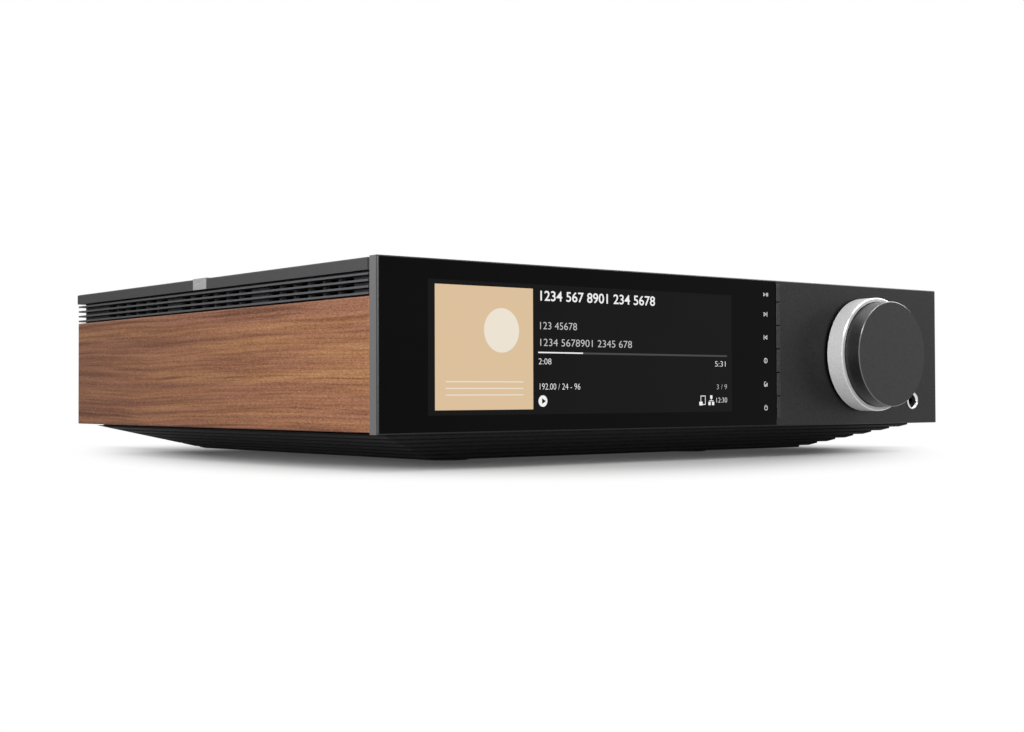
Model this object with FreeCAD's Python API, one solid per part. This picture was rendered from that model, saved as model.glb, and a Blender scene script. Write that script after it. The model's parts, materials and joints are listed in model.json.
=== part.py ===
import FreeCAD, Part
import math
import os

# A streaming amplifier, in millimetres.
# X runs to the right as seen from the front, Y from the front to the back, and Z up.
# While it is built, Y is 0 on the front panel's face and Z is 0 on its lower edge.
# At the end every node is moved so that the origin lies on the ground, under the middle of the whole.

# Front panel, a flat metal plate across the whole front
width = 317.0
panel_height = 62.5
panel_thickness = 5.1
panel_chamfer = 0.35

# Display glass, let into the left part of the front panel and flush with its face
glass_thickness = 1.5
glass_side_rim = 0.6
glass_end_rim = 0.5
glass_clearance = 0.05

# Display module behind the glass, and the plate that holds it from behind
display_from_left = 16.3
display_from_bottom = 3.8
display_from_keys = 22.63
display_height = 54.0
display_clearance = 0.3
bracket_thickness = 1.2
bracket_overlap = 5.0
bracket_window_margin = 12.0
bracket_edge_margin = 1.0

# Column of push keys between the glass and the bare part of the panel
key_count = 6
key_column_from_right = 110.24
key_column_width = 2.43
key_column_bottom = 2.9
key_column_top = 60.9
key_first_notch = 12.9
key_pitch = 10.07
key_notch = 0.45
key_side_clearance = 0.07
key_proud = 0.4
key_travel = 0.4
key_flange_width = 6.4
key_flange_trim = 3.0
key_flange_thickness = 1.2
key_flange_gap = 0.3
key_window_clearance = 0.3
key_stem_size = 3.0
key_stem_length = 1.7
key_edge = 0.15

# Tactile switches behind the keys, drawn with the plungers at their pressed height
switch_size = 6.0
switch_plunger_radius = 1.7
switch_plunger_length = 0.5
switch_pressed_gap = 0.05

# Volume knob and source ring on one axis
knob_from_right = 54.725
knob_height = 31.35
knob_radius = 23.35
knob_front = 16.82
knob_edge = 0.3
ring_radius = 25.35
ring_front = 9.1
ring_back_gap = 0.8
ring_edge = 0.3
ring_recess_depth = 1.1
knob_ring_gap = 0.3
knob_hub_radius = 7.0
knob_web = 4.0
knob_wall = 3.0
ring_nut_room = 11.2
ring_web = 3.0

# Two shafts, one inside the other, and the encoder that carries them
volume_shaft_radius = 3.0
source_shaft_radius = 4.5
shaft_clearance = 0.05
seat_clearance = 0.02
bush_wall = 1.5
bush_hole_clearance = 0.1
bush_length_in_front = 3.8
nut_across_flats = 17.0
nut_thickness = 2.0
washer_thickness = 0.6
washer_radius = 10.0
encoder_size = 24.0
encoder_depth = 7.6
encoder_floor = 1.5
knob_bore_depth = 5.2

# Headphone socket in the lower right corner of the panel
jack_from_right = 18.1
jack_height = 10.5
jack_bore_radius = 1.8
jack_bore_depth = 15.5
jack_nose_radius = 2.9
jack_nose_clearance = 0.1
jack_body_width = 7.2
jack_body_height = 8.0
jack_body_wall = 2.0
collar_radius = 4.0
collar_mouth_radius = 3.4
collar_bore_radius = 3.0
collar_proud = 0.35
collar_depth = 1.4
collar_lip = 0.25

# Front board behind the panel, which carries the switches and the encoder
board_thickness = 1.6
front_board_margin_left = 14.0
front_board_side_gap = 1.3
front_board_bottom = 3.5
front_board_top = 57.0
board_notch_clearance = 0.2

# Gap behind the front panel, seen as a dark line round the body, and the sub-panel at its bottom
shadow_gap = 1.36
subpanel_thickness = 3.0
subpanel_window_clearance = 2.0
subpanel_lower_clearance = 0.3
subpanel_window_rim = 0.8

# Body behind the front panel
body_length = 252.94
cover_drop = 0.32
cover_band = 4.48
cover_skin = 2.0
cover_rim = 6.2
cover_rear_rim = 4.0
cover_edge = 0.6

# Bright metal tab that wraps over the cover's left edge
tab_from_front = 127.0
tab_length = 11.9
tab_thickness = 0.25
tab_reach = 9.0
tab_lower_margin = 0.1

# Louvre bands, four thin fins each side with rows of slots in the wall behind them
louvre_band = 9.2
louvre_bottom_gap = 0.3
fin_count = 4
fin_pitch = 2.27
fin_thickness = 0.75
fin_inset = 0.3
fin_top_gap = 0.95
louvre_wall_inset = 4.0
louvre_wall = 2.0
louvre_flange = 1.2
louvre_flange_overlap = 1.0
louvre_rear_setback = 0.6
slot_height = 1.4
slot_length = 8.6
slot_pitch = 10.6
slots_per_group = 6
slot_groups = 3
slot_group_pitch = 74.8
slot_first = 21.1
louvre_boss_gap = 1.0

# Walnut side panels, held by magnets
wood_thickness = 12.0
wood_bottom = 0.7
wood_front_gap = 0.3
wood_rear_setback = 0.8
wood_edge = 0.6
magnet_radius = 5.0
magnet_thickness = 3.0
magnet_pocket_clearance = 0.1
magnet_count = 4
magnet_first = 36.0
magnet_pitch = 62.0
catch_gap = 0.3
catch_thickness = 0.7
catch_height = 14.0
catch_margin = 9.0

# Chassis tray, a folded sheet, and the base under it
tray_sheet = 1.2
tray_fold_radius = 0.6
base_top = -0.2
tier_count = 7
tier_drop = 1.712
tier_edge = 0.7
tier_last_edge = 0.95
tier_side_inset = 9.63
tier_side_step = 6.94
tier_front_inset = 9.37
tier_front_step = 5.165
tier_side_bevel = 3.3
tier_front_bevel = 2.4
base_rear_slope = 2.35
base_rear_lip = 0.4
corner_slope_sideways = 0.216
corner_slope_backwards = 0.0726
base_wall = 2.4
base_floor = 1.6

# Feet
foot_radius = 10.0
foot_height = 2.0
foot_side_inset = 36.0
foot_front_inset = 40.0
foot_chamfer = 0.4
foot_screw_radius = 2.0
foot_screw_head_radius = 3.8
foot_screw_head = 1.2
foot_screw_bite = 1.5
foot_screw_sink = 0.3
foot_hole_clearance = 0.05

# Rear panel, and the screws that hold it
rear_sheet = 2.0
rear_setback = 1.0
rear_screw_radius = 1.5
rear_screw_head_radius = 2.8
rear_screw_head = 1.6
rear_screw_length = 7.0
rear_screw_clearance = 0.05
rear_screw_socket = 1.0
rear_screw_height = 5.4
rear_screw_upper_drop = 4.4
boss_width = 8.0
boss_length = 8.0
boss_height = 9.0

# Mains inlet with the rocker switch beside it, in one moulded housing
inlet_from_left = 46.5
inlet_height = 28.0
inlet_flange_width = 58.0
inlet_flange_height = 28.0
inlet_flange_thickness = 2.2
inlet_body_width = 51.0
inlet_body_height = 23.6
inlet_body_depth = 17.0
inlet_recess_width = 24.2
inlet_recess_height = 16.2
inlet_recess_depth = 16.0
inlet_recess_corner = 4.0
inlet_recess_offset = 12.0
inlet_pin_width = 2.0
inlet_pin_height = 4.0
inlet_pin_spacing = 7.0
inlet_pin_earth_drop = 2.0
inlet_pin_setback = 4.8
cutout_clearance = 0.15

# Rocker switch
rocker_offset = 14.5
rocker_width = 10.4
rocker_half_height = 8.5
rocker_ear = 2.5
rocker_middle = 1.4
rocker_belly = 4.0
rocker_belly_half = 3.5
rocker_shoulder = 1.5
rocker_swing = 14.0
rocker_side_gap = 0.3
rocker_end_gap = 0.4
rocker_well_floor = 5.6
rocker_pivot_radius = 1.0
rocker_pivot_length = 1.0
rocker_pivot_end_gap = 0.2
rocker_proud = 1.6

# Loudspeaker terminals
speaker_centre_from_left = 125.5
speaker_height = 28.0
speaker_pair_pitch = 19.0
speaker_pair_gap = 45.0
speaker_block_margin = 12.0
speaker_block_height = 26.0
speaker_block_thickness = 3.0
speaker_block_edge = 0.6
post_radius = 3.0
post_bore_radius = 2.05
post_bore_depth = 19.0
post_inner_length = 7.4
post_setback = 0.6
post_nut_radius = 5.0
post_nut_thickness = 3.4
post_panel_clearance = 0.6
post_block_clearance = 0.02
speaker_cap_radius = 7.6
speaker_cap_length = 16.0
speaker_cap_gap = 0.3
speaker_cap_edge = 1.0
speaker_cap_groove = 0.5
speaker_cap_ribs = 12

# Signal sockets, in columns spread evenly between the loudspeaker terminals and the panel's far end
socket_area_margin = 2.0
phono_column_pitch = 16.0
phono_low = 18.0
phono_row_pitch = 20.0
phono_barrel_radius = 4.15
phono_barrel_length = 8.5
phono_bore_radius = 1.65
phono_bore_depth = 8.0
phono_flange_radius = 5.6
phono_flange = 1.2
phono_body_radius = 4.4
phono_body_length = 10.0
barrel_edge = 0.2

control_height = 38.0
control_bore_radius = 1.8
control_bore_depth = 14.0
control_flange_radius = 4.6
control_flange = 1.0
control_body_radius = 4.0
control_body_length = 16.0

antenna_height = 46.0
antenna_barrel_radius = 3.1
antenna_barrel_length = 9.5
antenna_flange_across = 8.0
antenna_flange = 2.0
antenna_body_radius = 2.8
antenna_body_length = 6.0
antenna_bore_radius = 0.9
antenna_bore_depth = 7.0

socket_depth = 13.0
socket_proud = 0.6
socket_shell = 0.6
socket_tongue_setback = 4.6
socket_tongue_margin = 1.2
hdmi_height = 17.0
hdmi_mouth_width = 14.1
hdmi_mouth_height = 4.8
hdmi_tongue = 1.2
usb_low = 14.5
usb_pitch = 13.0
usb_mouth_width = 12.6
usb_mouth_height = 5.2
usb_tongue = 1.8
network_height = 18.5
network_mouth_width = 11.9
network_mouth_height = 8.6
network_wall = 1.8
optical_height = 18.0
optical_mouth_width = 9.8
optical_mouth_height = 8.4
optical_wall = 1.8
optical_lens_radius = 1.2
optical_lens_length = 2.0
shutter_thickness = 0.8
shutter_clearance = 0.3
shutter_setback = 0.5
shutter_pivot_radius = 0.6
shutter_pivot_drop = 0.9
shutter_pivot_length = 0.8

# Boards and power parts inside
standoff_radius = 2.8
standoff_height = 6.0
standoff_inset = 5.0
supply_board_from_left = 18.0
supply_board_width = 84.0
supply_board_length = 128.0
supply_board_rear_gap = 26.0
amplifier_board_gap = 7.0
amplifier_board_width = 88.0
amplifier_board_length = 118.0
main_board_gap = 7.0
main_board_side_gap = 4.8
main_board_length = 176.0
transformer_width = 52.0
transformer_length = 46.0
transformer_core_height = 30.0
transformer_bobbin_bulge = 5.0
winding_side_inset = 10.4
winding_top_drop = 5.2
transformer_front_gap = 12.0
transformer_side_gap = 14.0
capacitor_radius = 11.0
capacitor_height = 36.0
capacitor_pitch = 25.0
capacitor_count = 3
capacitor_rear_gap = 20.0
chip_width = 16.0
chip_length = 24.0
chip_height = 3.0
chip_pitch = 42.0
heatsink_width = 76.0
heatsink_length = 60.0
heatsink_plate = 5.0
heatsink_fin_height = 22.0
heatsink_fin = 1.8
heatsink_fin_count = 11
can_width = 38.0
can_length = 34.0
can_height = 6.0
can_pitch = 44.0
can_count = 3
can_wall = 0.6
can_front_gap = 12.0

# How far a cutting shape runs past the face it cuts, and how far one cut reaches into the next
past = 1.0
tool_bite = 0.01


# Small makers of plain shapes

def vec(x, y, z):
    return FreeCAD.Vector(x, y, z)


def block(x0, x1, y0, y1, z0, z1):
    """A box between two values on each axis."""
    return Part.makeBox(x1 - x0, y1 - y0, z1 - z0, vec(x0, y0, z0))


def centred(x, z, wide, high, y0, y1):
    """A box round a line along the depth, at x and z."""
    return block(x - wide / 2, x + wide / 2, y0, y1, z - high / 2, z + high / 2)


def rod(x, z, radius, y0, y1):
    """A round bar along the depth."""
    return Part.makeCylinder(radius, y1 - y0, vec(x, y0, z), vec(0, 1, 0))


def pillar(x, y, radius, z0, z1):
    """A round bar standing up."""
    return Part.makeCylinder(radius, z1 - z0, vec(x, y, z0), vec(0, 0, 1))


def cross_pin(x0, x1, y, z, radius):
    """A round bar across the width."""
    return Part.makeCylinder(radius, x1 - x0, vec(x0, y, z), vec(1, 0, 0))


def turned(x, z, outline):
    """A turned piece round a line along the depth; the outline is a list of (y, radius)."""
    points = [vec(x + radius, y, z) for y, radius in outline]
    face = Part.Face(Part.makePolygon(points + points[:1]))
    return face.revolve(vec(x, 0, z), vec(0, 1, 0), 360)


def slab(points, direction):
    """A straight solid from a closed outline, moved along a direction."""
    return Part.Face(Part.makePolygon(points + points[:1])).extrude(direction)


def joined(shapes):
    """One solid from several that meet."""
    first, *rest = shapes
    return first.multiFuse(rest).removeSplitter() if rest else first


def without(shape, tools):
    """The shape with the tools cut out of it."""
    return shape.cut(Part.makeCompound(tools))


def edges_where(shape, test):
    """The edges whose two ends both pass the test."""
    return [e for e in shape.Edges if all(test(v.Point) for v in e.Vertexes) and len(e.Vertexes) > 1]


def near(a, b):
    return abs(a - b) < 1e-4


# Places that several pieces share

half = width / 2
cover_top = panel_height - cover_drop
cover_bottom = cover_top - cover_band
skin_bottom = cover_top - cover_skin
body_front = panel_thickness + shadow_gap
body_rear = body_front + body_length
louvre_bottom = cover_bottom - louvre_band
wood_top = louvre_bottom
rail_bottom = louvre_bottom + louvre_bottom_gap
tray_inset = wood_thickness + catch_gap + catch_thickness
tray_floor_top = base_top + tray_sheet
upper_inset = cover_rim + subpanel_lower_clearance
subpanel_rear = panel_thickness + subpanel_thickness
rear_face = body_rear - rear_setback
rear_inner = rear_face - rear_sheet
base_bottom = base_top - (tier_count - 1) * tier_drop - tier_last_edge
ground = base_bottom - foot_height
standing_top = tray_floor_top + standoff_height
board_top = standing_top + board_thickness

key_x = half - key_column_from_right - key_column_width / 2
knob_x = half - knob_from_right
jack_x = half - jack_from_right
jack_bore_end = collar_depth + jack_bore_depth
display_x0 = -half + display_from_left
display_x1 = key_x - key_column_width / 2 - display_from_keys
display_z0 = display_from_bottom
display_z1 = display_z0 + display_height
bush_radius = source_shaft_radius + shaft_clearance + bush_wall
board_front = panel_thickness + encoder_depth
front_board_x0 = key_x - front_board_margin_left
front_board_x1 = half - tray_inset - tray_sheet - front_board_side_gap
key_flange_front = panel_thickness + key_flange_gap
key_stem_front = key_flange_front + key_flange_thickness
key_rear = key_stem_front + key_stem_length
switch_plunger_front = key_rear + key_travel + switch_pressed_gap
switch_front = switch_plunger_front + switch_plunger_length

inlet_x = -half + inlet_from_left
inlet_mouth_y = rear_face + inlet_flange_thickness
recess_x = inlet_x - inlet_recess_offset
rocker_x = inlet_x + rocker_offset
rocker_pivot_y = inlet_mouth_y + rocker_proud - rocker_ear
speaker_x = -half + speaker_centre_from_left
speaker_face = rear_face + speaker_block_thickness
speaker_cap_front = speaker_face + speaker_cap_gap
speaker_cap_rear = speaker_cap_front + speaker_cap_length
post_rear = speaker_cap_rear - post_setback
socket_mouth_y = rear_face + socket_proud
socket_area_x0 = speaker_x + speaker_pair_gap / 2 + speaker_pair_pitch / 2 + speaker_block_margin
socket_area_x1 = half - tray_inset - socket_area_margin
column_widths = [phono_column_pitch + 2 * phono_flange_radius,
                 hdmi_mouth_width + 2 * socket_shell,
                 network_mouth_width + 2 * network_wall,
                 usb_mouth_width + 2 * socket_shell,
                 optical_mouth_width + 2 * optical_wall]
column_gap = (socket_area_x1 - socket_area_x0 - sum(column_widths)) / (len(column_widths) + 1)


def column_x(index):
    """Centre of one column of sockets."""
    before = sum(column_widths[:index])
    return socket_area_x0 + column_gap * (index + 1) + before + column_widths[index] / 2


phono_x, hdmi_x, network_x, usb_x, optical_x = [column_x(i) for i in range(len(column_widths))]
shutter_front_y = socket_mouth_y - shutter_setback
shutter_pivot_z = optical_height + optical_mouth_height / 2 - shutter_pivot_drop
shutter_pivot_y = shutter_front_y - shutter_thickness / 2

# Middle of the whole in depth, between the knob's face and the loudspeaker caps
middle_y = (speaker_cap_rear - knob_front) / 2


def key_ends():
    """Lower and upper end of each key, from the lowest up."""
    notches = [key_first_notch + key_pitch * i for i in range(key_count - 1)]
    lows = [key_column_bottom + key_side_clearance] + [notch + key_notch / 2 for notch in notches]
    highs = [notch - key_notch / 2 for notch in notches] + [key_column_top - key_side_clearance]
    return list(zip(lows, highs))


def speaker_places():
    """X of the four loudspeaker terminals, from left to right as seen from the front."""
    pairs = [speaker_x - speaker_pair_gap / 2, speaker_x + speaker_pair_gap / 2]
    return [pair + side * speaker_pair_pitch / 2 for pair in pairs for side in (-1, 1)]


def foot_places():
    """Centre of each foot, in from the corners of the base's lowest step."""
    last = tier_count - 1
    x = half - tier_side_inset - last * tier_side_step - foot_side_inset
    front = tier_front_inset + last * tier_front_step + foot_front_inset
    rear = base_rear_at(base_bottom) - foot_front_inset
    return [(side * x, y) for side in (-1, 1) for y in (front, rear)]


def base_rear_at(z):
    """Where the base's sloping back lies at a height."""
    return body_rear - base_rear_lip - (base_top - z) * base_rear_slope


def phono_places():
    return [(phono_x + side * phono_column_pitch / 2, phono_low + phono_row_pitch * row)
            for side in (-1, 1) for row in range(2)]


def control_places():
    return [(x, control_height) for x in (hdmi_x, network_x)]


def antenna_places():
    return [(x, antenna_height) for x in (usb_x, optical_x)]


def usb_places():
    return [(usb_x, usb_low + usb_pitch * i) for i in range(2)]


def rear_screw_places():
    """The four screws low on the rear panel, then the two high at its ends."""
    reach = half - tray_inset - tray_sheet - boss_width
    low = [(reach * t, rear_screw_height) for t in (-1, -1 / 3, 1 / 3, 1)]
    high_x = half - upper_inset - boss_width / 2
    return low + [(side * high_x, cover_bottom - rear_screw_upper_drop) for side in (-1, 1)]


# Front

def fascia():
    """The front panel, with every opening that a front piece sits in."""
    plate = block(-half, half, 0, panel_thickness, 0, panel_height)
    plate = plate.makeChamfer(panel_chamfer, edges_where(plate, lambda p: near(p.y, 0)))
    key_slot = centred(key_x, (key_column_bottom + key_column_top) / 2, key_column_width,
                       key_column_top - key_column_bottom, -past, panel_thickness + past)
    pocket = block(-half + glass_side_rim, key_x - key_column_width / 2, -past, glass_thickness,
                   glass_end_rim, panel_height - glass_end_rim)
    window = block(display_x0 - display_clearance, display_x1 + display_clearance, 0, panel_thickness + past,
                   display_z0 - display_clearance, display_z1 + display_clearance)
    bush_hole = rod(knob_x, knob_height, bush_radius + bush_hole_clearance, -past, panel_thickness + past)
    jack_hole = rod(jack_x, jack_height, jack_nose_radius + jack_nose_clearance, 0, panel_thickness + past)
    collar_hole = rod(jack_x, jack_height, collar_radius - collar_lip, -past, collar_depth)
    return without(plate, [key_slot, pocket, window, bush_hole, jack_hole, collar_hole])


def display_glass():
    x0 = -half + glass_side_rim + glass_clearance
    x1 = key_x - key_column_width / 2 - glass_clearance
    return block(x0, x1, 0, glass_thickness, glass_end_rim + glass_clearance,
                 panel_height - glass_end_rim - glass_clearance)


def display_module():
    return block(display_x0, display_x1, glass_thickness, panel_thickness, display_z0, display_z1)


def display_bracket():
    """A plate behind the display that overlaps the front panel round its window."""
    reach = bracket_overlap
    y0, y1 = panel_thickness, panel_thickness + bracket_thickness
    z0 = max(display_z0 - reach, wood_bottom + bracket_edge_margin)
    z1 = min(display_z1 + reach, skin_bottom - bracket_edge_margin)
    x0 = max(display_x0 - reach, -half + tray_inset + subpanel_lower_clearance)
    plate = block(x0, display_x1 + reach, y0, y1, z0, z1)
    margin = bracket_window_margin
    window = block(display_x0 + margin, display_x1 - margin, y0 - past, y1 + past,
                   display_z0 + margin, display_z1 - margin)
    return without(plate, [window])


def push_key(low, high):
    """One slim key: its cap in the slot, a flange behind the panel, and a stem towards its switch."""
    wide = key_column_width - 2 * key_side_clearance
    middle = (low + high) / 2
    cap_rear = panel_thickness - key_travel - key_window_clearance
    flange_height = high - low - key_flange_trim
    cap = centred(key_x, middle, wide, high - low, -key_proud, cap_rear)
    cap = cap.makeChamfer(key_edge, edges_where(cap, lambda p: near(p.y, -key_proud)))
    neck = centred(key_x, middle, wide, flange_height, cap_rear, key_flange_front)
    flange = centred(key_x, middle, key_flange_width, flange_height, key_flange_front, key_stem_front)
    stem = centred(key_x, middle, key_stem_size, key_stem_size, key_stem_front, key_rear)
    return joined([cap, neck, flange, stem])


def key_switches():
    """A square switch with a round plunger behind each key, on the front board."""
    switches = []
    for low, high in key_ends():
        middle = (low + high) / 2
        body = centred(key_x, middle, switch_size, switch_size, switch_front, board_front)
        plunger = rod(key_x, middle, switch_plunger_radius, switch_plunger_front, switch_front)
        switches.append(joined([body, plunger]))
    return Part.makeCompound(switches)


def front_board():
    board = block(front_board_x0, front_board_x1, board_front, board_front + board_thickness,
                  front_board_bottom, front_board_top)
    gap = 2 * board_notch_clearance
    notch = centred(jack_x, jack_height, jack_body_width + gap, jack_body_height + gap,
                    board_front - past, board_front + board_thickness + past)
    return without(board, [notch])


def encoder_body():
    """The two-way rotary encoder with its threaded bush."""
    body = centred(knob_x, knob_height, encoder_size, encoder_size, panel_thickness, board_front)
    bush = rod(knob_x, knob_height, bush_radius, -bush_length_in_front, panel_thickness)
    outer_bore = rod(knob_x, knob_height, source_shaft_radius + shaft_clearance,
                     -bush_length_in_front - past, board_front - 2 * encoder_floor)
    inner_bore = rod(knob_x, knob_height, volume_shaft_radius + shaft_clearance,
                     0, board_front - encoder_floor)
    return without(joined([body, bush]), [outer_bore, inner_bore])


def encoder_nut():
    """A washer against the front panel, and a hexagon nut on it, both round the bush."""
    washer = rod(knob_x, knob_height, washer_radius, -washer_thickness, 0)
    corner = nut_across_flats / 2 / math.cos(math.radians(30))
    turns = [math.radians(60 * i) for i in range(6)]
    points = [vec(knob_x + corner * math.cos(a), -washer_thickness, knob_height + corner * math.sin(a))
              for a in turns]
    nut = slab(points, vec(0, -nut_thickness, 0))
    hole = rod(knob_x, knob_height, bush_radius + seat_clearance, -bush_length_in_front - past, past)
    return Part.makeCompound([without(washer, [hole]), without(nut, [hole])])


ring_web_rear = -(ring_front - ring_recess_depth - ring_web)
ring_recess_y = -(ring_front - ring_recess_depth)
knob_rear = ring_recess_y - knob_ring_gap
knob_bore_y = knob_rear - knob_bore_depth


def volume_shaft():
    return rod(knob_x, knob_height, volume_shaft_radius, knob_bore_y + seat_clearance,
               board_front - encoder_floor - shaft_clearance)


def source_shaft():
    y0, y1 = ring_recess_y, board_front - 2 * encoder_floor - shaft_clearance
    tube = rod(knob_x, knob_height, source_shaft_radius, y0, y1)
    bore = rod(knob_x, knob_height, volume_shaft_radius + shaft_clearance, y0 - past, y1 + past)
    return without(tube, [bore])


def volume_knob():
    """The turned knob: a flat face with a cut edge, hollow behind round a hub for the shaft."""
    r, e = knob_radius, knob_edge
    outside = turned(knob_x, knob_height, [
        (-knob_front, 0), (-knob_front, r - e), (-knob_front + e, r), (knob_rear, r), (knob_rear, 0)])
    hollow = turned(knob_x, knob_height, [
        (-knob_front + knob_web, knob_hub_radius), (-knob_front + knob_web, r - knob_wall),
        (knob_rear + past, r - knob_wall), (knob_rear + past, knob_hub_radius)])
    bore = rod(knob_x, knob_height, volume_shaft_radius + seat_clearance, knob_bore_y, knob_rear + past)
    return without(outside, [hollow, bore])


def source_ring():
    """The ring round the foot of the knob, recessed in front for the knob and behind for the nut."""
    r, e = ring_radius, ring_edge
    lip = knob_radius + knob_ring_gap
    outside = turned(knob_x, knob_height, [
        (ring_recess_y, 0), (ring_recess_y, lip), (-ring_front, lip), (-ring_front, r - e),
        (-ring_front + e, r), (-ring_back_gap, r), (-ring_back_gap, 0)])
    nut_room = rod(knob_x, knob_height, ring_nut_room, ring_web_rear, 0)
    bore = rod(knob_x, knob_height, source_shaft_radius + seat_clearance, -knob_front, 0)
    return without(outside, [nut_room, bore])


def headphone_collar():
    """A bright collar with a conical mouth, let into the panel."""
    lip_radius = collar_radius - collar_lip - seat_clearance
    return turned(jack_x, jack_height, [
        (-collar_proud, collar_mouth_radius), (-collar_proud, collar_radius - collar_lip),
        (-collar_proud + collar_lip, collar_radius), (0, collar_radius), (0, lip_radius),
        (collar_depth, lip_radius), (collar_depth, collar_bore_radius)])


def headphone_jack():
    nose = rod(jack_x, jack_height, jack_nose_radius, collar_depth, panel_thickness)
    body = centred(jack_x, jack_height, jack_body_width, jack_body_height,
                   panel_thickness, jack_bore_end + jack_body_wall)
    bore = rod(jack_x, jack_height, jack_bore_radius, collar_depth - past, jack_bore_end)
    return without(joined([nose, body]), [bore])


def body_plate(y0, y1, z0, z1):
    """A plate as wide as the body's inside: narrow between the wooden panels, wider above them."""
    low = half - tray_inset + subpanel_lower_clearance
    high = half - upper_inset
    points = [(-low, z0), (low, z0), (low, rail_bottom), (high, rail_bottom), (high, z1),
              (-high, z1), (-high, rail_bottom), (-low, rail_bottom)]
    return slab([vec(x, y0, z) for x, z in points], vec(0, y1 - y0, 0))


def front_subpanel():
    """The plate that closes the body behind the front panel, open round what passes through it."""
    y0, y1 = panel_thickness, subpanel_rear
    plate = body_plate(y0, y1, wood_bottom, skin_bottom)
    c = subpanel_window_clearance
    reach = bracket_overlap + c
    ends = key_ends()
    key_low = ends[0][0] + key_flange_trim / 2 - key_window_clearance
    key_high = ends[-1][1] - key_flange_trim / 2 + key_window_clearance
    windows = [block(display_x0 - reach, display_x1 + reach, y0 - past, y1 + past,
                     max(display_z0 - reach, wood_bottom + subpanel_window_rim),
                     min(display_z1 + reach, skin_bottom - subpanel_window_rim)),
               block(key_x - key_flange_width / 2 - c, key_x + key_flange_width / 2 + c, y0 - past, y1 + past,
                     key_low, key_high),
               centred(knob_x, knob_height, encoder_size + 2 * c, encoder_size + 2 * c, y0 - past, y1 + past),
               centred(jack_x, jack_height, jack_body_width + c, jack_body_height + c, y0 - past, y1 + past)]
    return without(plate, windows)


# Body

def top_cover():
    """A satin plate with deeper edges along both sides and the rear."""
    plate = block(-half, half, body_front, body_rear, cover_bottom, cover_top)
    top_edges = edges_where(plate, lambda p: near(p.z, cover_top))
    plate = plate.makeFillet(cover_edge, top_edges)
    hollow = block(-half + cover_rim, half - cover_rim, body_front - past, body_rear - cover_rear_rim,
                   cover_bottom - past, skin_bottom)
    recess = block(-half - past, -half + tab_thickness, tab_from_front, tab_from_front + tab_length,
                   cover_bottom - past, cover_top + past)
    return without(plate, [hollow, recess])


def cover_tab():
    """A folded strip of bare metal: one leg down the cover's side, the other over its top."""
    y0, y1 = tab_from_front, tab_from_front + tab_length
    gap = seat_clearance
    leg = block(-half, -half + tab_thickness, y0 + gap, y1 - gap, cover_bottom + tab_lower_margin,
                cover_top + tab_thickness)
    top = block(-half, -half + tab_reach, y0 + gap, y1 - gap, cover_top, cover_top + tab_thickness)
    return joined([leg, top])


def louvre_rail(side):
    """Four fins on a slotted wall, with a flange that rests on the tray's wall."""
    y0, y1 = body_front, body_rear - louvre_rear_setback
    inner = louvre_wall_inset + louvre_wall
    parts = [block(-half + louvre_wall_inset, -half + inner, y0, y1, rail_bottom, cover_bottom)]
    top_fin = cover_bottom - fin_top_gap
    for i in range(fin_count):
        z = top_fin - fin_pitch * i
        parts.append(block(-half + fin_inset, -half + louvre_wall_inset, y0, y1, z - fin_thickness, z))
    flange_end = -half + tray_inset + tray_sheet + louvre_flange_overlap
    parts.append(block(-half + inner, flange_end, subpanel_rear + seat_clearance, rear_inner,
                       rail_bottom, rail_bottom + louvre_flange))
    parts.append(block(-half + upper_inset, -half + upper_inset + boss_width, rear_inner - boss_length,
                       rear_inner, rail_bottom, cover_bottom - louvre_boss_gap))
    rail = joined(parts)
    slots = []
    for i in range(fin_count - 1):
        z = top_fin - fin_pitch * i - fin_thickness - (fin_pitch - fin_thickness) / 2
        for group in range(slot_groups):
            for j in range(slots_per_group):
                y = slot_first + slot_group_pitch * group + slot_pitch * j
                slots.append(block(-half + louvre_wall_inset - tool_bite, -half + inner + past, y,
                                   y + slot_length,
                                   z - slot_height / 2, z + slot_height / 2))
    screw_x, screw_z = rear_screw_places()[4]
    slots.append(rod(screw_x, screw_z, rear_screw_radius + rear_screw_clearance,
                     rear_inner - boss_length - past, rear_inner + past))
    rail = without(rail, slots)
    return rail if side < 0 else rail.mirror(vec(0, 0, 0), vec(1, 0, 0))


def magnet_places():
    middle = (wood_bottom + wood_top) / 2
    return [(body_front + magnet_first + magnet_pitch * i, middle) for i in range(magnet_count)]


def side_panel(side):
    """A walnut board with softened edges and a blind hole for each magnet in its inner face."""
    x0, x1 = -half, -half + wood_thickness
    board = block(x0, x1, panel_thickness + wood_front_gap, body_rear - wood_rear_setback,
                  wood_bottom, wood_top)
    board = board.makeFillet(wood_edge, edges_where(board, lambda p: near(p.x, x0)))
    depth = magnet_thickness + magnet_pocket_clearance
    pockets = [cross_pin(x1 - depth, x1 + past, y, z, magnet_radius + magnet_pocket_clearance)
               for y, z in magnet_places()]
    board = without(board, pockets)
    return board if side < 0 else board.mirror(vec(0, 0, 0), vec(1, 0, 0))


def panel_magnets(side):
    x0 = -half + wood_thickness - magnet_thickness - magnet_pocket_clearance
    magnets = Part.makeCompound([cross_pin(x0, x0 + magnet_thickness, y, z, magnet_radius)
                                 for y, z in magnet_places()])
    return magnets if side < 0 else magnets.mirror(vec(0, 0, 0), vec(1, 0, 0))


def catch_plates():
    """A steel strip on each wall of the tray, which the magnets pull to."""
    places = magnet_places()
    y0, y1 = places[0][0] - catch_margin, places[-1][0] + catch_margin
    z = places[0][1]
    strip = block(-half + wood_thickness + catch_gap, -half + tray_inset, y0, y1,
                  z - catch_height / 2, z + catch_height / 2)
    return Part.makeCompound([strip, strip.mirror(vec(0, 0, 0), vec(1, 0, 0))])


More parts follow.
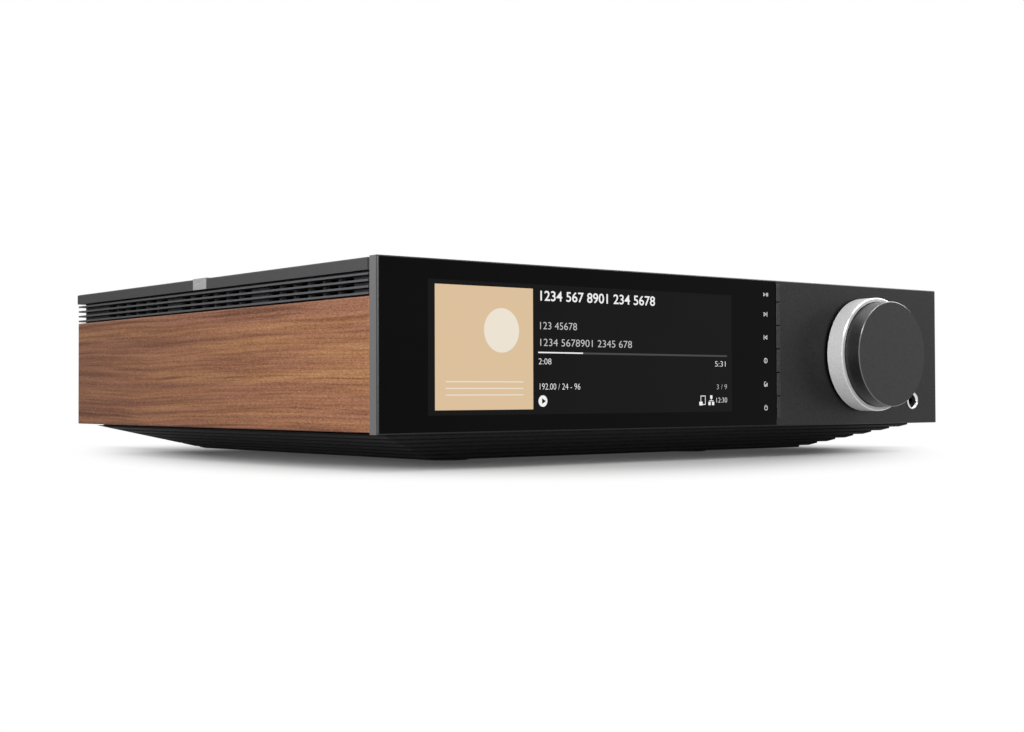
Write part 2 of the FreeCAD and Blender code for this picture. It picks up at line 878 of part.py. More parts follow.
def chassis_tray():
    """A folded sheet: a floor, two walls, and bosses at the rear for the panel's screws."""
    x1 = half - tray_inset
    x0 = x1 - tray_sheet
    y0, y1 = subpanel_rear, rear_inner
    outer = block(-x1, x1, y0, y1, base_top, rail_bottom)
    folds = [e for e in outer.Edges if near(e.CenterOfMass.z, base_top) and near(abs(e.CenterOfMass.x), x1)]
    outer = outer.makeFillet(tray_fold_radius, folds)
    inside = block(-x0, x0, y0 - past, y1 + past, tray_floor_top, rail_bottom + past)
    tray = without(outer, [inside])
    low_screws = rear_screw_places()[:4]
    bosses = [centred(x, tray_floor_top + boss_height / 2, boss_width, boss_height, y1 - boss_length, y1)
              for x, z in low_screws]
    holes = [rod(x, z, rear_screw_radius + rear_screw_clearance, y1 - boss_length - past, y1 + past)
             for x, z in low_screws]
    return without(joined([tray] + bosses), holes)


def tier(index):
    """One step of the base: a straight edge, then a shallow slope in to the next step, if there is one."""
    top = base_top - tier_drop * index
    x = half - tier_side_inset - tier_side_step * index
    y = tier_front_inset + tier_front_step * index
    rear = body_rear
    if index == tier_count - 1:
        return [block(-x, x, y, rear, base_bottom, top)]
    edge = block(-x, x, y, rear, top - tier_edge, top)
    x_in, y_in = x - tier_side_bevel, y + tier_front_bevel
    z_upper, z_lower = top - tier_edge, top - tier_drop
    upper = [vec(-x, y, z_upper), vec(x, y, z_upper), vec(x, rear, z_upper), vec(-x, rear, z_upper)]
    lower = [vec(-x_in, y_in, z_lower), vec(x_in, y_in, z_lower), vec(x_in, rear, z_lower),
             vec(-x_in, rear, z_lower)]
    wires = [Part.makePolygon(points + points[:1]) for points in (upper, lower)]
    return [edge, Part.makeLoft(wires, True, True)]


def corner_slope(side):
    """What a slope cuts off the steps towards one rear corner, starting from the base's top corner there."""
    corner_x, corner_y = half - tier_side_inset, base_rear_at(base_top)

    def on_slope(x, y):
        z = base_top - (corner_x - x) * corner_slope_sideways - (corner_y - y) * corner_slope_backwards
        return vec(side * x, y, z)

    points = [on_slope(x, y) for x, y in ((0, 0), (half, 0), (half, body_rear), (0, body_rear))]
    return slab(points, vec(0, 0, base_bottom - base_top - past))


def stepped_base():
    """The black base: a stack of steps that draws in towards the floor, hollow from above."""
    pieces = []
    for index in range(tier_count):
        pieces += tier(index)
    stack = joined(pieces)
    z0, z1 = base_bottom - past, base_top + past
    behind = [vec(-half, base_rear_at(z1), z1), vec(-half, base_rear_at(z0), z0),
              vec(-half, body_rear + past, z0), vec(-half, body_rear + past, z1)]
    tools = [slab(behind, vec(width, 0, 0)), corner_slope(-1), corner_slope(1)]
    for index in range(tier_count - 1):
        x = half - tier_side_inset - tier_side_step * (index + 1) - base_wall
        y = tier_front_inset + tier_front_step * (index + 1) + base_wall
        top = base_top - tier_drop * index
        bottom = max(top - tier_drop, base_bottom + base_floor)
        tools.append(block(-x, x, y, base_rear_at(base_bottom) - base_wall, bottom, top + tool_bite))
    for x, y in foot_places():
        tools.append(pillar(x, y, foot_screw_radius + foot_hole_clearance, base_bottom - past,
                            base_bottom + foot_screw_bite))
    return without(stack, tools)


def rubber_feet():
    feet = []
    for x, y in foot_places():
        foot = pillar(x, y, foot_radius, ground, base_bottom)
        foot = foot.makeChamfer(foot_chamfer, [e for e in foot.Edges
                                               if near(e.CenterOfMass.z, ground) and e.Length > foot_radius])
        shank = pillar(x, y, foot_screw_radius + foot_hole_clearance, ground - past, base_bottom + past)
        sink = pillar(x, y, foot_screw_head_radius + foot_hole_clearance, ground - past,
                      ground + foot_screw_sink + foot_screw_head)
        feet.append(without(foot, [shank, sink]))
    return Part.makeCompound(feet)


def foot_screws():
    screws = []
    for x, y in foot_places():
        head_bottom = ground + foot_screw_sink
        head = pillar(x, y, foot_screw_head_radius, head_bottom, head_bottom + foot_screw_head)
        shank = pillar(x, y, foot_screw_radius, head_bottom + foot_screw_head, base_bottom + foot_screw_bite)
        screws.append(joined([head, shank]))
    return Part.makeCompound(screws)


# Rear

def rear_panel():
    """The flat plate that holds every rear socket."""
    plate = body_plate(rear_inner, rear_face, base_top, cover_bottom)
    y0, y1 = rear_inner - past, rear_face + past
    gap = 2 * cutout_clearance
    holes = [centred(inlet_x, inlet_height, inlet_body_width + gap, inlet_body_height + gap, y0, y1)]
    holes += [rod(x, speaker_height, post_radius + post_panel_clearance, y0, y1) for x in speaker_places()]
    holes += [rod(x, z, phono_body_radius + cutout_clearance, y0, y1) for x, z in phono_places()]
    holes += [rod(x, z, control_body_radius + cutout_clearance, y0, y1) for x, z in control_places()]
    holes += [rod(x, z, antenna_body_radius + cutout_clearance, y0, y1) for x, z in antenna_places()]
    holes += [rod(x, z, rear_screw_radius + rear_screw_clearance, y0, y1) for x, z in rear_screw_places()]
    for x, z, wide, high, wall in box_sockets():
        holes.append(centred(x, z, wide + 2 * wall + gap, high + 2 * wall + gap, y0, y1))
    return without(plate, holes)


def rear_screws():
    """Pan head screws with a hexagon socket, four low and two high."""
    screws = []
    for x, z in rear_screw_places():
        head = rod(x, z, rear_screw_head_radius, rear_face, rear_face + rear_screw_head)
        shank = rod(x, z, rear_screw_radius, rear_face - rear_screw_length, rear_face)
        socket = rod(x, z, rear_screw_radius, rear_face + rear_screw_head - rear_screw_socket,
                     rear_face + rear_screw_head + past)
        screws.append(without(joined([head, shank]), [socket]))
    return Part.makeCompound(screws)


def box_sockets():
    """Centre, mouth and wall of each square socket."""
    places = [(hdmi_x, hdmi_height, hdmi_mouth_width, hdmi_mouth_height, socket_shell)]
    places += [(x, z, usb_mouth_width, usb_mouth_height, socket_shell) for x, z in usb_places()]
    places.append((network_x, network_height, network_mouth_width, network_mouth_height, network_wall))
    places.append((optical_x, optical_height, optical_mouth_width, optical_mouth_height, optical_wall))
    return places


def box_socket(x, z, wide, high, wall):
    """A square shell with an open mouth at the rear and a closed inner end."""
    y0, y1 = socket_mouth_y - socket_depth, socket_mouth_y
    shell = centred(x, z, wide + 2 * wall, high + 2 * wall, y0, y1)
    return without(shell, [centred(x, z, wide, high, y0 + socket_shell, y1 + past)])


def tongued_socket(place, tongue):
    """A square shell with a flat tongue inside, set back from the mouth."""
    x, z, wide, high, wall = place
    y0 = socket_mouth_y - socket_depth + socket_shell
    blade = centred(x, z, wide - 2 * socket_tongue_margin, tongue, y0, socket_mouth_y - socket_tongue_setback)
    return joined([box_socket(*place), blade])


def hdmi_socket():
    return tongued_socket(box_sockets()[0], hdmi_tongue)


def usb_sockets():
    return Part.makeCompound([tongued_socket(place, usb_tongue) for place in box_sockets()[1:3]])


def network_socket():
    return box_socket(*box_sockets()[3])


def optical_socket():
    """The optical socket's housing, with its lens at the end and ears for the shutter's pivots."""
    x, z, wide, high, wall = box_sockets()[4]
    housing = box_socket(x, z, wide, high, wall)
    y0 = socket_mouth_y - socket_depth + socket_shell
    lens = rod(x, z, optical_lens_radius, y0, y0 + optical_lens_length)
    reach = wide / 2 + shutter_pivot_length
    ears = cross_pin(x - reach, x + reach, shutter_pivot_y, shutter_pivot_z,
                     shutter_pivot_radius + shaft_clearance)
    return without(joined([housing, lens]), [ears])


def optical_shutter():
    """The flap that hangs in the optical socket's mouth from two small pivots."""
    x, z, wide, high, wall = box_sockets()[4]
    flap = block(x - wide / 2 + shutter_clearance, x + wide / 2 - shutter_clearance,
                 shutter_front_y - shutter_thickness, shutter_front_y,
                 z - high / 2 + shutter_clearance, shutter_pivot_z)
    reach = wide / 2 + shutter_pivot_length - seat_clearance
    pivot = cross_pin(x - reach, x + reach, shutter_pivot_y, shutter_pivot_z, shutter_pivot_radius)
    return joined([flap, pivot])


def mains_inlet():
    """One moulding for the mains inlet and the rocker's well, with the inlet's three blades."""
    y0 = inlet_mouth_y - inlet_body_depth
    flange = centred(inlet_x, inlet_height, inlet_flange_width, inlet_flange_height, rear_face, inlet_mouth_y)
    body = centred(inlet_x, inlet_height, inlet_body_width, inlet_body_height, y0, rear_face)
    w, h, c = inlet_recess_width / 2, inlet_recess_height / 2, inlet_recess_corner
    outline = [(-w, -h + c), (-w + c, -h), (w - c, -h), (w, -h + c), (w, h), (-w, h)]
    floor_y = inlet_mouth_y - inlet_recess_depth
    recess = slab([vec(recess_x + x, floor_y, inlet_height + z) for x, z in outline],
                  vec(0, inlet_recess_depth + past, 0))
    reach = rocker_half_height + rocker_end_gap + rocker_side_gap
    well = centred(rocker_x, inlet_height, rocker_width + 2 * rocker_side_gap, 2 * reach,
                   rocker_pivot_y - rocker_well_floor, inlet_mouth_y + past)
    pin_reach = rocker_width / 2 + rocker_side_gap + rocker_pivot_length
    pivot = cross_pin(rocker_x - pin_reach, rocker_x + pin_reach, rocker_pivot_y, inlet_height,
                      rocker_pivot_radius + shaft_clearance)
    housing = without(joined([flange, body]), [recess, well, pivot])
    blades = []
    for i in (-1, 0, 1):
        drop = 0 if i else inlet_pin_earth_drop
        z = inlet_height + drop - inlet_pin_earth_drop / 2
        blades.append(centred(recess_x + inlet_pin_spacing * i, z,
                              inlet_pin_width, inlet_pin_height, floor_y, inlet_mouth_y - inlet_pin_setback))
    return Part.makeCompound([housing] + blades)


def power_rocker():
    """The rocker, shallow V face outwards, tipped to one side of its swing."""
    h, b = rocker_half_height, rocker_belly_half
    outline = [(-h, rocker_ear), (0, rocker_middle), (h, rocker_ear), (h, -rocker_shoulder),
               (b, -rocker_belly), (-b, -rocker_belly), (-h, -rocker_shoulder)]
    x0 = rocker_x - rocker_width / 2
    points = [vec(x0, rocker_pivot_y + y, inlet_height + z) for z, y in outline]
    body = slab(points, vec(rocker_width, 0, 0))
    reach = rocker_width / 2 + rocker_side_gap + rocker_pivot_length - rocker_pivot_end_gap
    pivot = cross_pin(rocker_x - reach, rocker_x + reach, rocker_pivot_y, inlet_height, rocker_pivot_radius)
    rocker = joined([body, pivot])
    rocker.rotate(vec(rocker_x, rocker_pivot_y, inlet_height), vec(1, 0, 0), -rocker_swing / 2)
    return rocker


def speaker_block():
    places = speaker_places()
    x0, x1 = places[0] - speaker_block_margin, places[-1] + speaker_block_margin
    plate = block(x0, x1, rear_face, speaker_face, speaker_height - speaker_block_height / 2,
                  speaker_height + speaker_block_height / 2)
    plate = plate.makeChamfer(speaker_block_edge, edges_where(plate, lambda p: near(p.y, speaker_face)))
    return without(plate, [rod(x, speaker_height, post_radius + post_block_clearance, rear_face - past,
                               speaker_face + past) for x in places])


def speaker_posts():
    """Hollow metal posts that take a 4 mm plug, each with a nut inside the rear panel."""
    posts = []
    for x in speaker_places():
        post = rod(x, speaker_height, post_radius, rear_inner - post_inner_length, post_rear)
        nut = rod(x, speaker_height, post_nut_radius, rear_inner - post_nut_thickness, rear_inner)
        bore = rod(x, speaker_height, post_bore_radius, post_rear - post_bore_depth, post_rear + past)
        posts.append(without(joined([post, nut]), [bore]))
    return Part.makeCompound(posts)


def speaker_cap(x):
    """A screw cap with finger grooves, open along its middle for the post."""
    r, e = speaker_cap_radius, speaker_cap_edge
    y0, y1 = speaker_cap_front, speaker_cap_rear
    cap = turned(x, speaker_height, [(y0, 0), (y0, r), (y1 - e, r), (y1, r - e), (y1, 0)])
    tools = [rod(x, speaker_height, post_radius + shaft_clearance, y0 - past, y1 + past)]
    for i in range(speaker_cap_ribs):
        a = 2 * math.pi * i / speaker_cap_ribs
        tools.append(rod(x + r * math.cos(a), speaker_height + r * math.sin(a), speaker_cap_groove,
                         y0 + 2 * e, y1 + past))
    return without(cap, tools)


def barrel_socket(x, z, barrel, length, flange, flange_depth, body, inner_length, bore, bore_depth):
    """A round socket: a barrel behind a flange on the rear panel, and a body inside."""
    y1 = rear_face + flange_depth + length
    solid = turned(x, z, [
        (rear_inner - inner_length, 0), (rear_inner - inner_length, body), (rear_face, body),
        (rear_face, flange), (rear_face + flange_depth, flange), (rear_face + flange_depth, barrel),
        (y1 - barrel_edge, barrel), (y1, barrel - barrel_edge), (y1, 0)])
    return without(solid, [rod(x, z, bore, y1 - bore_depth, y1 + past)])


def phono_sockets():
    return Part.makeCompound([
        barrel_socket(x, z, phono_barrel_radius, phono_barrel_length, phono_flange_radius, phono_flange,
                      phono_body_radius, phono_body_length, phono_bore_radius, phono_bore_depth)
        for x, z in phono_places()])


def control_jacks():
    """Two small jacks whose flange is also their face."""
    jacks = []
    for x, z in control_places():
        flange = rod(x, z, control_flange_radius, rear_face, rear_face + control_flange)
        body = rod(x, z, control_body_radius, rear_inner - control_body_length, rear_face)
        bore = rod(x, z, control_bore_radius, rear_face + control_flange - control_bore_depth,
                   rear_face + control_flange + past)
        jacks.append(without(joined([flange, body]), [bore]))
    return Part.makeCompound(jacks)


def antenna_sockets():
    return Part.makeCompound([
        barrel_socket(x, z, antenna_barrel_radius, antenna_barrel_length, antenna_flange_across / 2,
                      antenna_flange, antenna_body_radius, antenna_body_length, antenna_bore_radius,
                      antenna_bore_depth)
        for x, z in antenna_places()])


# Inside

supply_x0 = -half + supply_board_from_left
amplifier_x0 = supply_x0 + supply_board_width + amplifier_board_gap
main_x0 = amplifier_x0 + amplifier_board_width + main_board_gap
main_board_width = half - tray_inset - tray_sheet - main_board_side_gap - main_x0
boards_rear = rear_inner - supply_board_rear_gap


def board_area(x0, wide, long):
    """The four sides of a board that ends at the boards' common rear line."""
    return x0, x0 + wide, boards_rear - long, boards_rear


board_areas = [board_area(supply_x0, supply_board_width, supply_board_length),
               board_area(amplifier_x0, amplifier_board_width, amplifier_board_length),
               board_area(main_x0, main_board_width, main_board_length)]


def circuit_board(area):
    x0, x1, y0, y1 = area
    return block(x0, x1, y0, y1, standing_top, board_top)


def board_standoffs():
    posts = []
    for x0, x1, y0, y1 in board_areas:
        for x in (x0 + standoff_inset, x1 - standoff_inset):
            for y in (y0 + standoff_inset, y1 - standoff_inset):
                posts.append(pillar(x, y, standoff_radius, tray_floor_top, standing_top))
    return Part.makeCompound(posts)


def supply_transformer():
    """A wound transformer: its core, and the winding that bulges out of it at the front and back."""
    x0 = supply_x0 + transformer_side_gap
    y0 = board_areas[0][2] + transformer_front_gap + transformer_bobbin_bulge
    core = block(x0, x0 + transformer_width, y0, y0 + transformer_length, board_top,
                 board_top + transformer_core_height)
    inset = winding_side_inset
    winding = block(x0 + inset, x0 + transformer_width - inset, y0 - transformer_bobbin_bulge,
                    y0 + transformer_length + transformer_bobbin_bulge, board_top,
                    board_top + transformer_core_height - winding_top_drop)
    return joined([core, winding])


def supply_capacitors():
    y = boards_rear - capacitor_rear_gap
    x = supply_x0 + supply_board_width / 2 - capacitor_pitch * (capacitor_count - 1) / 2
    return Part.makeCompound([pillar(x + capacitor_pitch * i, y, capacitor_radius, board_top,
                                     board_top + capacitor_height) for i in range(capacitor_count)])


def amplifier_board():
    """The output board with its two power chips."""
    x0, x1, y0, y1 = board_areas[1]
    chips = [block(x, x + chip_width, y, y + chip_length, board_top, board_top + chip_height)
             for y in [(y0 + y1 - chip_length) / 2]
             for x in [(x0 + x1 - chip_width + side * chip_pitch) / 2 for side in (-1, 1)]]
    return joined([circuit_board(board_areas[1])] + chips)


def heatsink():
    """A finned block that lies on the power chips."""
    x0, x1, y0, y1 = board_areas[1]
    left = (x0 + x1 - heatsink_width) / 2
    front = (y0 + y1 - heatsink_length) / 2
    bottom = board_top + chip_height
    parts = [block(left, left + heatsink_width, front, front + heatsink_length, bottom,
                   bottom + heatsink_plate)]
    pitch = (heatsink_width - heatsink_fin) / (heatsink_fin_count - 1)
    for i in range(heatsink_fin_count):
        x = left + pitch * i
        parts.append(block(x, x + heatsink_fin, front, front + heatsink_length, bottom + heatsink_plate,
                           bottom + heatsink_plate + heatsink_fin_height))
    return joined(parts)


def shield_cans():
    """Pressed covers over the streaming circuits on the main board."""
    x0, x1, y0, y1 = board_areas[2]
    left = (x0 + x1 - can_width) / 2
    cans = []
    for i in range(can_count):
        front = y0 + can_front_gap + can_pitch * i
        shell = block(left, left + can_width, front, front + can_length, board_top, board_top + can_height)
        inside = block(left + can_wall, left + can_width - can_wall, front + can_wall,
                       front + can_length - can_wall, board_top - past, board_top + can_height - can_wall)
        cans.append(without(shell, [inside]))
    return Part.makeCompound(cans)


key_names = ["key_standby", "key_source", "key_info", "key_previous", "key_next", "key_play"]

nodes = {
    "front_panel": fascia(),
    "display_glass": display_glass(),
    "display_module": display_module(),
    "display_bracket": display_bracket(),
    "front_board": front_board(),
    "key_switches": key_switches(),
    "encoder_body": encoder_body(),
    "encoder_nut": encoder_nut(),
    "volume_shaft": volume_shaft(),
    "source_shaft": source_shaft(),
    "volume_knob": volume_knob(),
    "source_ring": source_ring(),
    "headphone_collar": headphone_collar(),
    "headphone_jack": headphone_jack(),
    "front_subpanel": front_subpanel(),
    "top_cover": top_cover(),
    "cover_tab": cover_tab(),
    "louvre_rail_left": louvre_rail(-1),
    "louvre_rail_right": louvre_rail(1),
    "side_panel_left": side_panel(-1),
    "side_panel_right": side_panel(1),
    "left_panel_magnets": panel_magnets(-1),
    "right_panel_magnets": panel_magnets(1),
    "catch_plates": catch_plates(),
    "chassis_tray": chassis_tray(),
    "stepped_base": stepped_base(),
    "rubber_feet": rubber_feet(),
    "foot_screws": foot_screws(),
    "rear_panel": rear_panel(),
    "rear_screws": rear_screws(),
    "mains_inlet": mains_inlet(),
    "power_rocker": power_rocker(),
    "speaker_block": speaker_block(),
    "speaker_posts": speaker_posts(),
    "phono_sockets": phono_sockets(),
    "control_jacks": control_jacks(),
    "antenna_sockets": antenna_sockets(),
    "hdmi_socket": hdmi_socket(),
    "usb_sockets": usb_sockets(),
    "network_socket": network_socket(),
    "optical_socket": optical_socket(),
    "optical_shutter": optical_shutter(),
    "board_standoffs": board_standoffs(),
    "supply_board": circuit_board(board_areas[0]),
    "supply_transformer": supply_transformer(),
    "supply_capacitors": supply_capacitors(),
    "amplifier_board": amplifier_board(),
    "heatsink": heatsink(),
    "main_board": circuit_board(board_areas[2]),
    "shield_cans": shield_cans(),
}
for key_name, (low_end, high_end) in zip(key_names, key_ends()):
    nodes[key_name] = push_key(low_end, high_end)
for number, place in enumerate(speaker_places(), start=1):
    nodes[f"speaker_cap_{number}"] = speaker_cap(place)

os.makedirs("parts", exist_ok=True)
for name, shape in nodes.items():
    placed = shape.copy()
    placed.translate(vec(0, -middle_y, -ground))
    placed.exportStep(f"parts/{name}.step")
    print(f"{name}: {len(placed.Solids)} solids, {placed.Volume:.0f} mm3, valid {placed.isValid()}")
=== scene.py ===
import bmesh
import bpy
import json
import math
from mathutils import Matrix, Vector


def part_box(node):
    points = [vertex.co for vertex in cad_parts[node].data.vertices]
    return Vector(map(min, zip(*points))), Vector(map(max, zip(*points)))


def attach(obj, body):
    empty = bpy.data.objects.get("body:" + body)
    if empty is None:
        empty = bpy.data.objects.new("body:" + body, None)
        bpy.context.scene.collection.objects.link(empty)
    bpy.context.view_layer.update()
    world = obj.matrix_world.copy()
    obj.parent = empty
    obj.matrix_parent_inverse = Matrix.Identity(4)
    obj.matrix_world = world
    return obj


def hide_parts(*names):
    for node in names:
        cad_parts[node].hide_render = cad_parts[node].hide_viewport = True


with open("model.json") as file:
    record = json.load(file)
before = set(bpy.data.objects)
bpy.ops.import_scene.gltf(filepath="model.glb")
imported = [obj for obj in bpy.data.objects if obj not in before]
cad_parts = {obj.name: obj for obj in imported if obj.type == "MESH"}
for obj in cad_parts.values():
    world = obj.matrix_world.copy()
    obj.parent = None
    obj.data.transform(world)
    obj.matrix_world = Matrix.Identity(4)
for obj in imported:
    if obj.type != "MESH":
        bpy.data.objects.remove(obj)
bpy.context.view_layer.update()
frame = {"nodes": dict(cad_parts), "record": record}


# Front panel. A plate of aluminium, 5 mm thick, bead blasted and anodised black, with its two ends
# painted a shade lighter, as painted light. It is screwed to the body from behind, so nothing shows.
mm = 0.001
panel_low, panel_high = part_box("front_panel")
nodes = frame["nodes"]
# Most of a noise lies between these two of its values.
noise_low, noise_high = 0.35, 0.65


def linear(hex_colour):
    """An sRGB hex colour as the linear red, green, blue and alpha that a shader takes."""
    channels = [int(hex_colour[i:i + 2], 16) / 255 for i in (1, 3, 5)]
    return [c / 12.92 if c <= 0.04045 else ((c + 0.055) / 1.055) ** 2.4 for c in channels] + [1.0]


def add(tree, kind, inputs, stops=(), **settings):
    """A node with its settings and colour stops; each input is a value, or a socket to link from."""
    node = tree.nodes.new("ShaderNode" + kind)
    for name, value in settings.items():
        setattr(node, name, value)
    for key, value in inputs.items():
        if isinstance(value, bpy.types.NodeSocket):
            tree.links.new(value, node.inputs[key])
        else:
            node.inputs[key].default_value = value
    for index, (position, colour) in enumerate(stops):
        elements = node.color_ramp.elements
        element = elements[index] if index < 2 else elements.new(position)
        element.position, element.color = position, linear(colour)
    return node


def blank(name, roughness, **sockets):
    """A new material and its shader, set to the values that are the same all over the surface."""
    material = bpy.data.materials.new(name)
    material.use_nodes = True
    shader = material.node_tree.nodes["Principled BSDF"]
    shader.inputs["Roughness"].default_value = roughness
    for socket, value in sockets.items():
        shader.inputs[socket.replace("_", " ")].default_value = value
    return material, shader


def finish(name, dark, light, grain, roughness, relief=0.0, stretch=(1, 1, 1), **sockets):
    """Two close colours in a noise; its grain and the depth of its relief are in millimetres."""
    material, shader = blank(name, roughness, **sockets)
    tree = material.node_tree
    place = add(tree, "TexCoord", {}).outputs["Object"]
    scale = [1 / (grain * mm * s) for s in stretch]
    fine = add(tree, "Mapping", {"Vector": place, "Scale": scale}).outputs[0]
    noise = add(tree, "TexNoise", {"Vector": fine, "Scale": 1.0, "Detail": 3.0}).outputs[0]
    share = add(tree, "MapRange", {"Value": noise, "From Min": noise_low, "From Max": noise_high}).outputs[0]
    # A Mix of colours takes its share in socket 0 and the two colours in 6 and 7, and gives socket 2.
    colour = add(tree, "Mix", {0: share, 6: linear(dark), 7: linear(light)}, data_type="RGBA")
    tree.links.new(colour.outputs[2], shader.inputs["Base Color"])
    if relief:
        bump = add(tree, "Bump", {"Height": noise, "Distance": relief * mm})
        tree.links.new(bump.outputs[0], shader.inputs["Normal"])
    return material


def shown_colour(material):
    """The socket that a finish's colour comes from."""
    return material.node_tree.nodes["Principled BSDF"].inputs["Base Color"].links[0].from_socket


def tint_where(material, axis, limit, side, colour):
    """Repaints a finish beyond a limit along one axis, in a hex colour or in a socket's."""
    tree = material.node_tree
    shader = tree.nodes["Principled BSDF"]
    place = add(tree, "TexCoord", {}).outputs["Object"]
    along = add(tree, "SeparateXYZ", {0: place}).outputs[axis]
    beyond = add(tree, "Math", {0: along, 1: limit}, operation=side).outputs[0]
    colour = linear(colour) if isinstance(colour, str) else colour
    mix = add(tree, "Mix", {0: beyond, 6: shown_colour(material), 7: colour}, data_type="RGBA")
    tree.links.new(mix.outputs[2], shader.inputs["Base Color"])


def dress(material, *names):
    """Gives CAD nodes their finish."""
    for name in names:
        for slot in nodes[name].material_slots:
            slot.material = material


# Black anodised aluminium, bead blasted: a dark metal with a fine even grain. The grain is really
# about 0.1 mm and is drawn at 0.7 mm, so that it shows. The panel's two milled ends are painted
# lighter, as painted light, apart from the first 0.9 mm behind its front.
black_anodised = finish("black_anodised_bead_blasted", "#303031", "#373738", 0.7, 0.42, 0.003,
                        Metallic=1.0)
painted_light_reach = 0.05 * mm
front_rim = 0.9 * mm
front_colour = shown_colour(black_anodised)
tint_where(black_anodised, "X", panel_low.x + painted_light_reach, "LESS_THAN", "#6a6a6b")
tint_where(black_anodised, "X", panel_high.x - painted_light_reach, "GREATER_THAN", "#6e6e6f")
tint_where(black_anodised, "Y", panel_low.y + front_rim, "LESS_THAN", front_colour)
dress(black_anodised, "front_panel")


# Display. A flush sheet of glass, printed black behind and coated against reflections, with the
# screen bonded to its back and held by a plated plate. Only the lit picture shows through it.

# Coated glass over black print: near black with one sharp weak reflection. The coating varies
# over about 40 mm.
printed_glass = finish("printed_glass_coated", "#020202", "#040404", 40.0, 0.07, IOR=1.14)
dress(printed_glass, "display_glass")
# Moulded ABS: an even, dull near black. Its tool's texture is 0.1 mm and is drawn at 0.8 mm.
screen_back = finish("matt_black_moulded_abs", "#1a1a1b", "#232324", 0.8, 0.6, 0.01)
dress(screen_back, "display_module")
# Zinc plated steel: a cool grey metal with soft blotches about 6 mm wide.
zinc_plated = finish("zinc_plated_steel", "#a3a5a3", "#bfc0bd", 6.0, 0.32, 0.002, Metallic=1.0)
dress(zinc_plated, "display_bracket", "encoder_body", "encoder_nut", "volume_shaft", "source_shaft",
      "catch_plates", "chassis_tray", "network_socket", "shield_cans")


# Screen picture, in plain numbers and marks: light from a colour screen, made as thin films at the
# face of the glass that is bonded over it. The square holds a pale disc and thin lines on tan.
# A film of light or print is 0.02 mm thick, and a figure is 0.7 of its font's size high.
film = 0.02
figure_share = 0.7
disc_sides = 48
hoop_steps = 40
merged_within = 1e-7


def at(x, y, z):
    """A point in millimetres right of, behind and above the front panel's lower left front corner."""
    return panel_low + Vector((x, y, z)) * mm


def lit(name, colour):
    """A colour that glows from behind the glass, as evenly as a screen does."""
    return finish(name, "#020202", "#040404", 30.0, 0.1, IOR=1.14, Emission_Color=linear(colour),
                  Emission_Strength=1.0)


def piece(name, bm, body, *materials, sharp=30):
    """A finished bmesh as an object, parented to an empty named for a CAD body."""
    mesh = bpy.data.meshes.new(name)
    bm.to_mesh(mesh)
    bm.free()
    mesh.shade_smooth()
    mesh.set_sharp_from_angle(angle=math.radians(sharp))
    for material in materials:
        mesh.materials.append(material)
    obj = bpy.data.objects.new(name, mesh)
    bpy.context.scene.collection.objects.link(obj)
    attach(obj, body)
    return obj


def block(bm, low, high):
    """A square block between two corners."""
    made = bmesh.ops.create_cube(bm, size=1.0)["verts"]
    bmesh.ops.scale(bm, vec=high - low, verts=made)
    bmesh.ops.translate(bm, vec=(low + high) / 2, verts=made)
    return made


def bar(bm, x0, x1, z0, z1, level=2):
    """A flat bar on the glass; a higher level lies over a lower one."""
    block(bm, at(x0, -film * level / 2, z0), at(x1, film, z1))


def disc(bm, x, z, radius, sides=disc_sides, turn=0.0, level=2):
    """A flat disc on the glass or, with three sides, an arrow head."""
    front, back = -film * level / 2, film
    made = bmesh.ops.create_cone(bm, cap_ends=True, segments=sides, radius1=radius * mm,
                                 radius2=radius * mm, depth=(back - front) * mm)["verts"]
    stand = Matrix.Rotation(math.radians(turn), 3, "Y") @ Matrix.Rotation(math.pi / 2, 3, "X")
    bmesh.ops.rotate(bm, cent=(0, 0, 0), matrix=stand, verts=made)
    bmesh.ops.translate(bm, vec=at(x, (front + back) / 2, z), verts=made)


def hoop(bm, x, z, outer, inner, start=0, sweep=360):
    """A flat ring on the glass, or a part of one that starts and sweeps by angles in degrees."""
    first = bmesh.ops.create_grid(bm, x_segments=1, y_segments=1, size=0.5)["verts"]
    bmesh.ops.scale(bm, vec=((outer - inner) * mm, 2 * film * mm, 1), verts=first)
    bmesh.ops.translate(bm, vec=at(x + (outer + inner) / 2, 0, z), verts=first)
    turn = Matrix.Rotation(math.radians(start), 3, "Y")
    bmesh.ops.rotate(bm, cent=at(x, 0, z), matrix=turn, verts=first)
    whole = sweep == 360
    edges = list(dict.fromkeys(edge for vertex in first for edge in vertex.link_edges))
    faces = list(dict.fromkeys(face for vertex in first for face in vertex.link_faces))
    if whole:
        bmesh.ops.delete(bm, geom=faces, context="FACES_ONLY")
        faces = []
    bmesh.ops.spin(bm, geom=edges + first + faces, cent=at(x, 0, z), axis=(0, 1, 0),
                   angle=math.radians(sweep), steps=hoop_steps, use_merge=whole, use_duplicate=False)


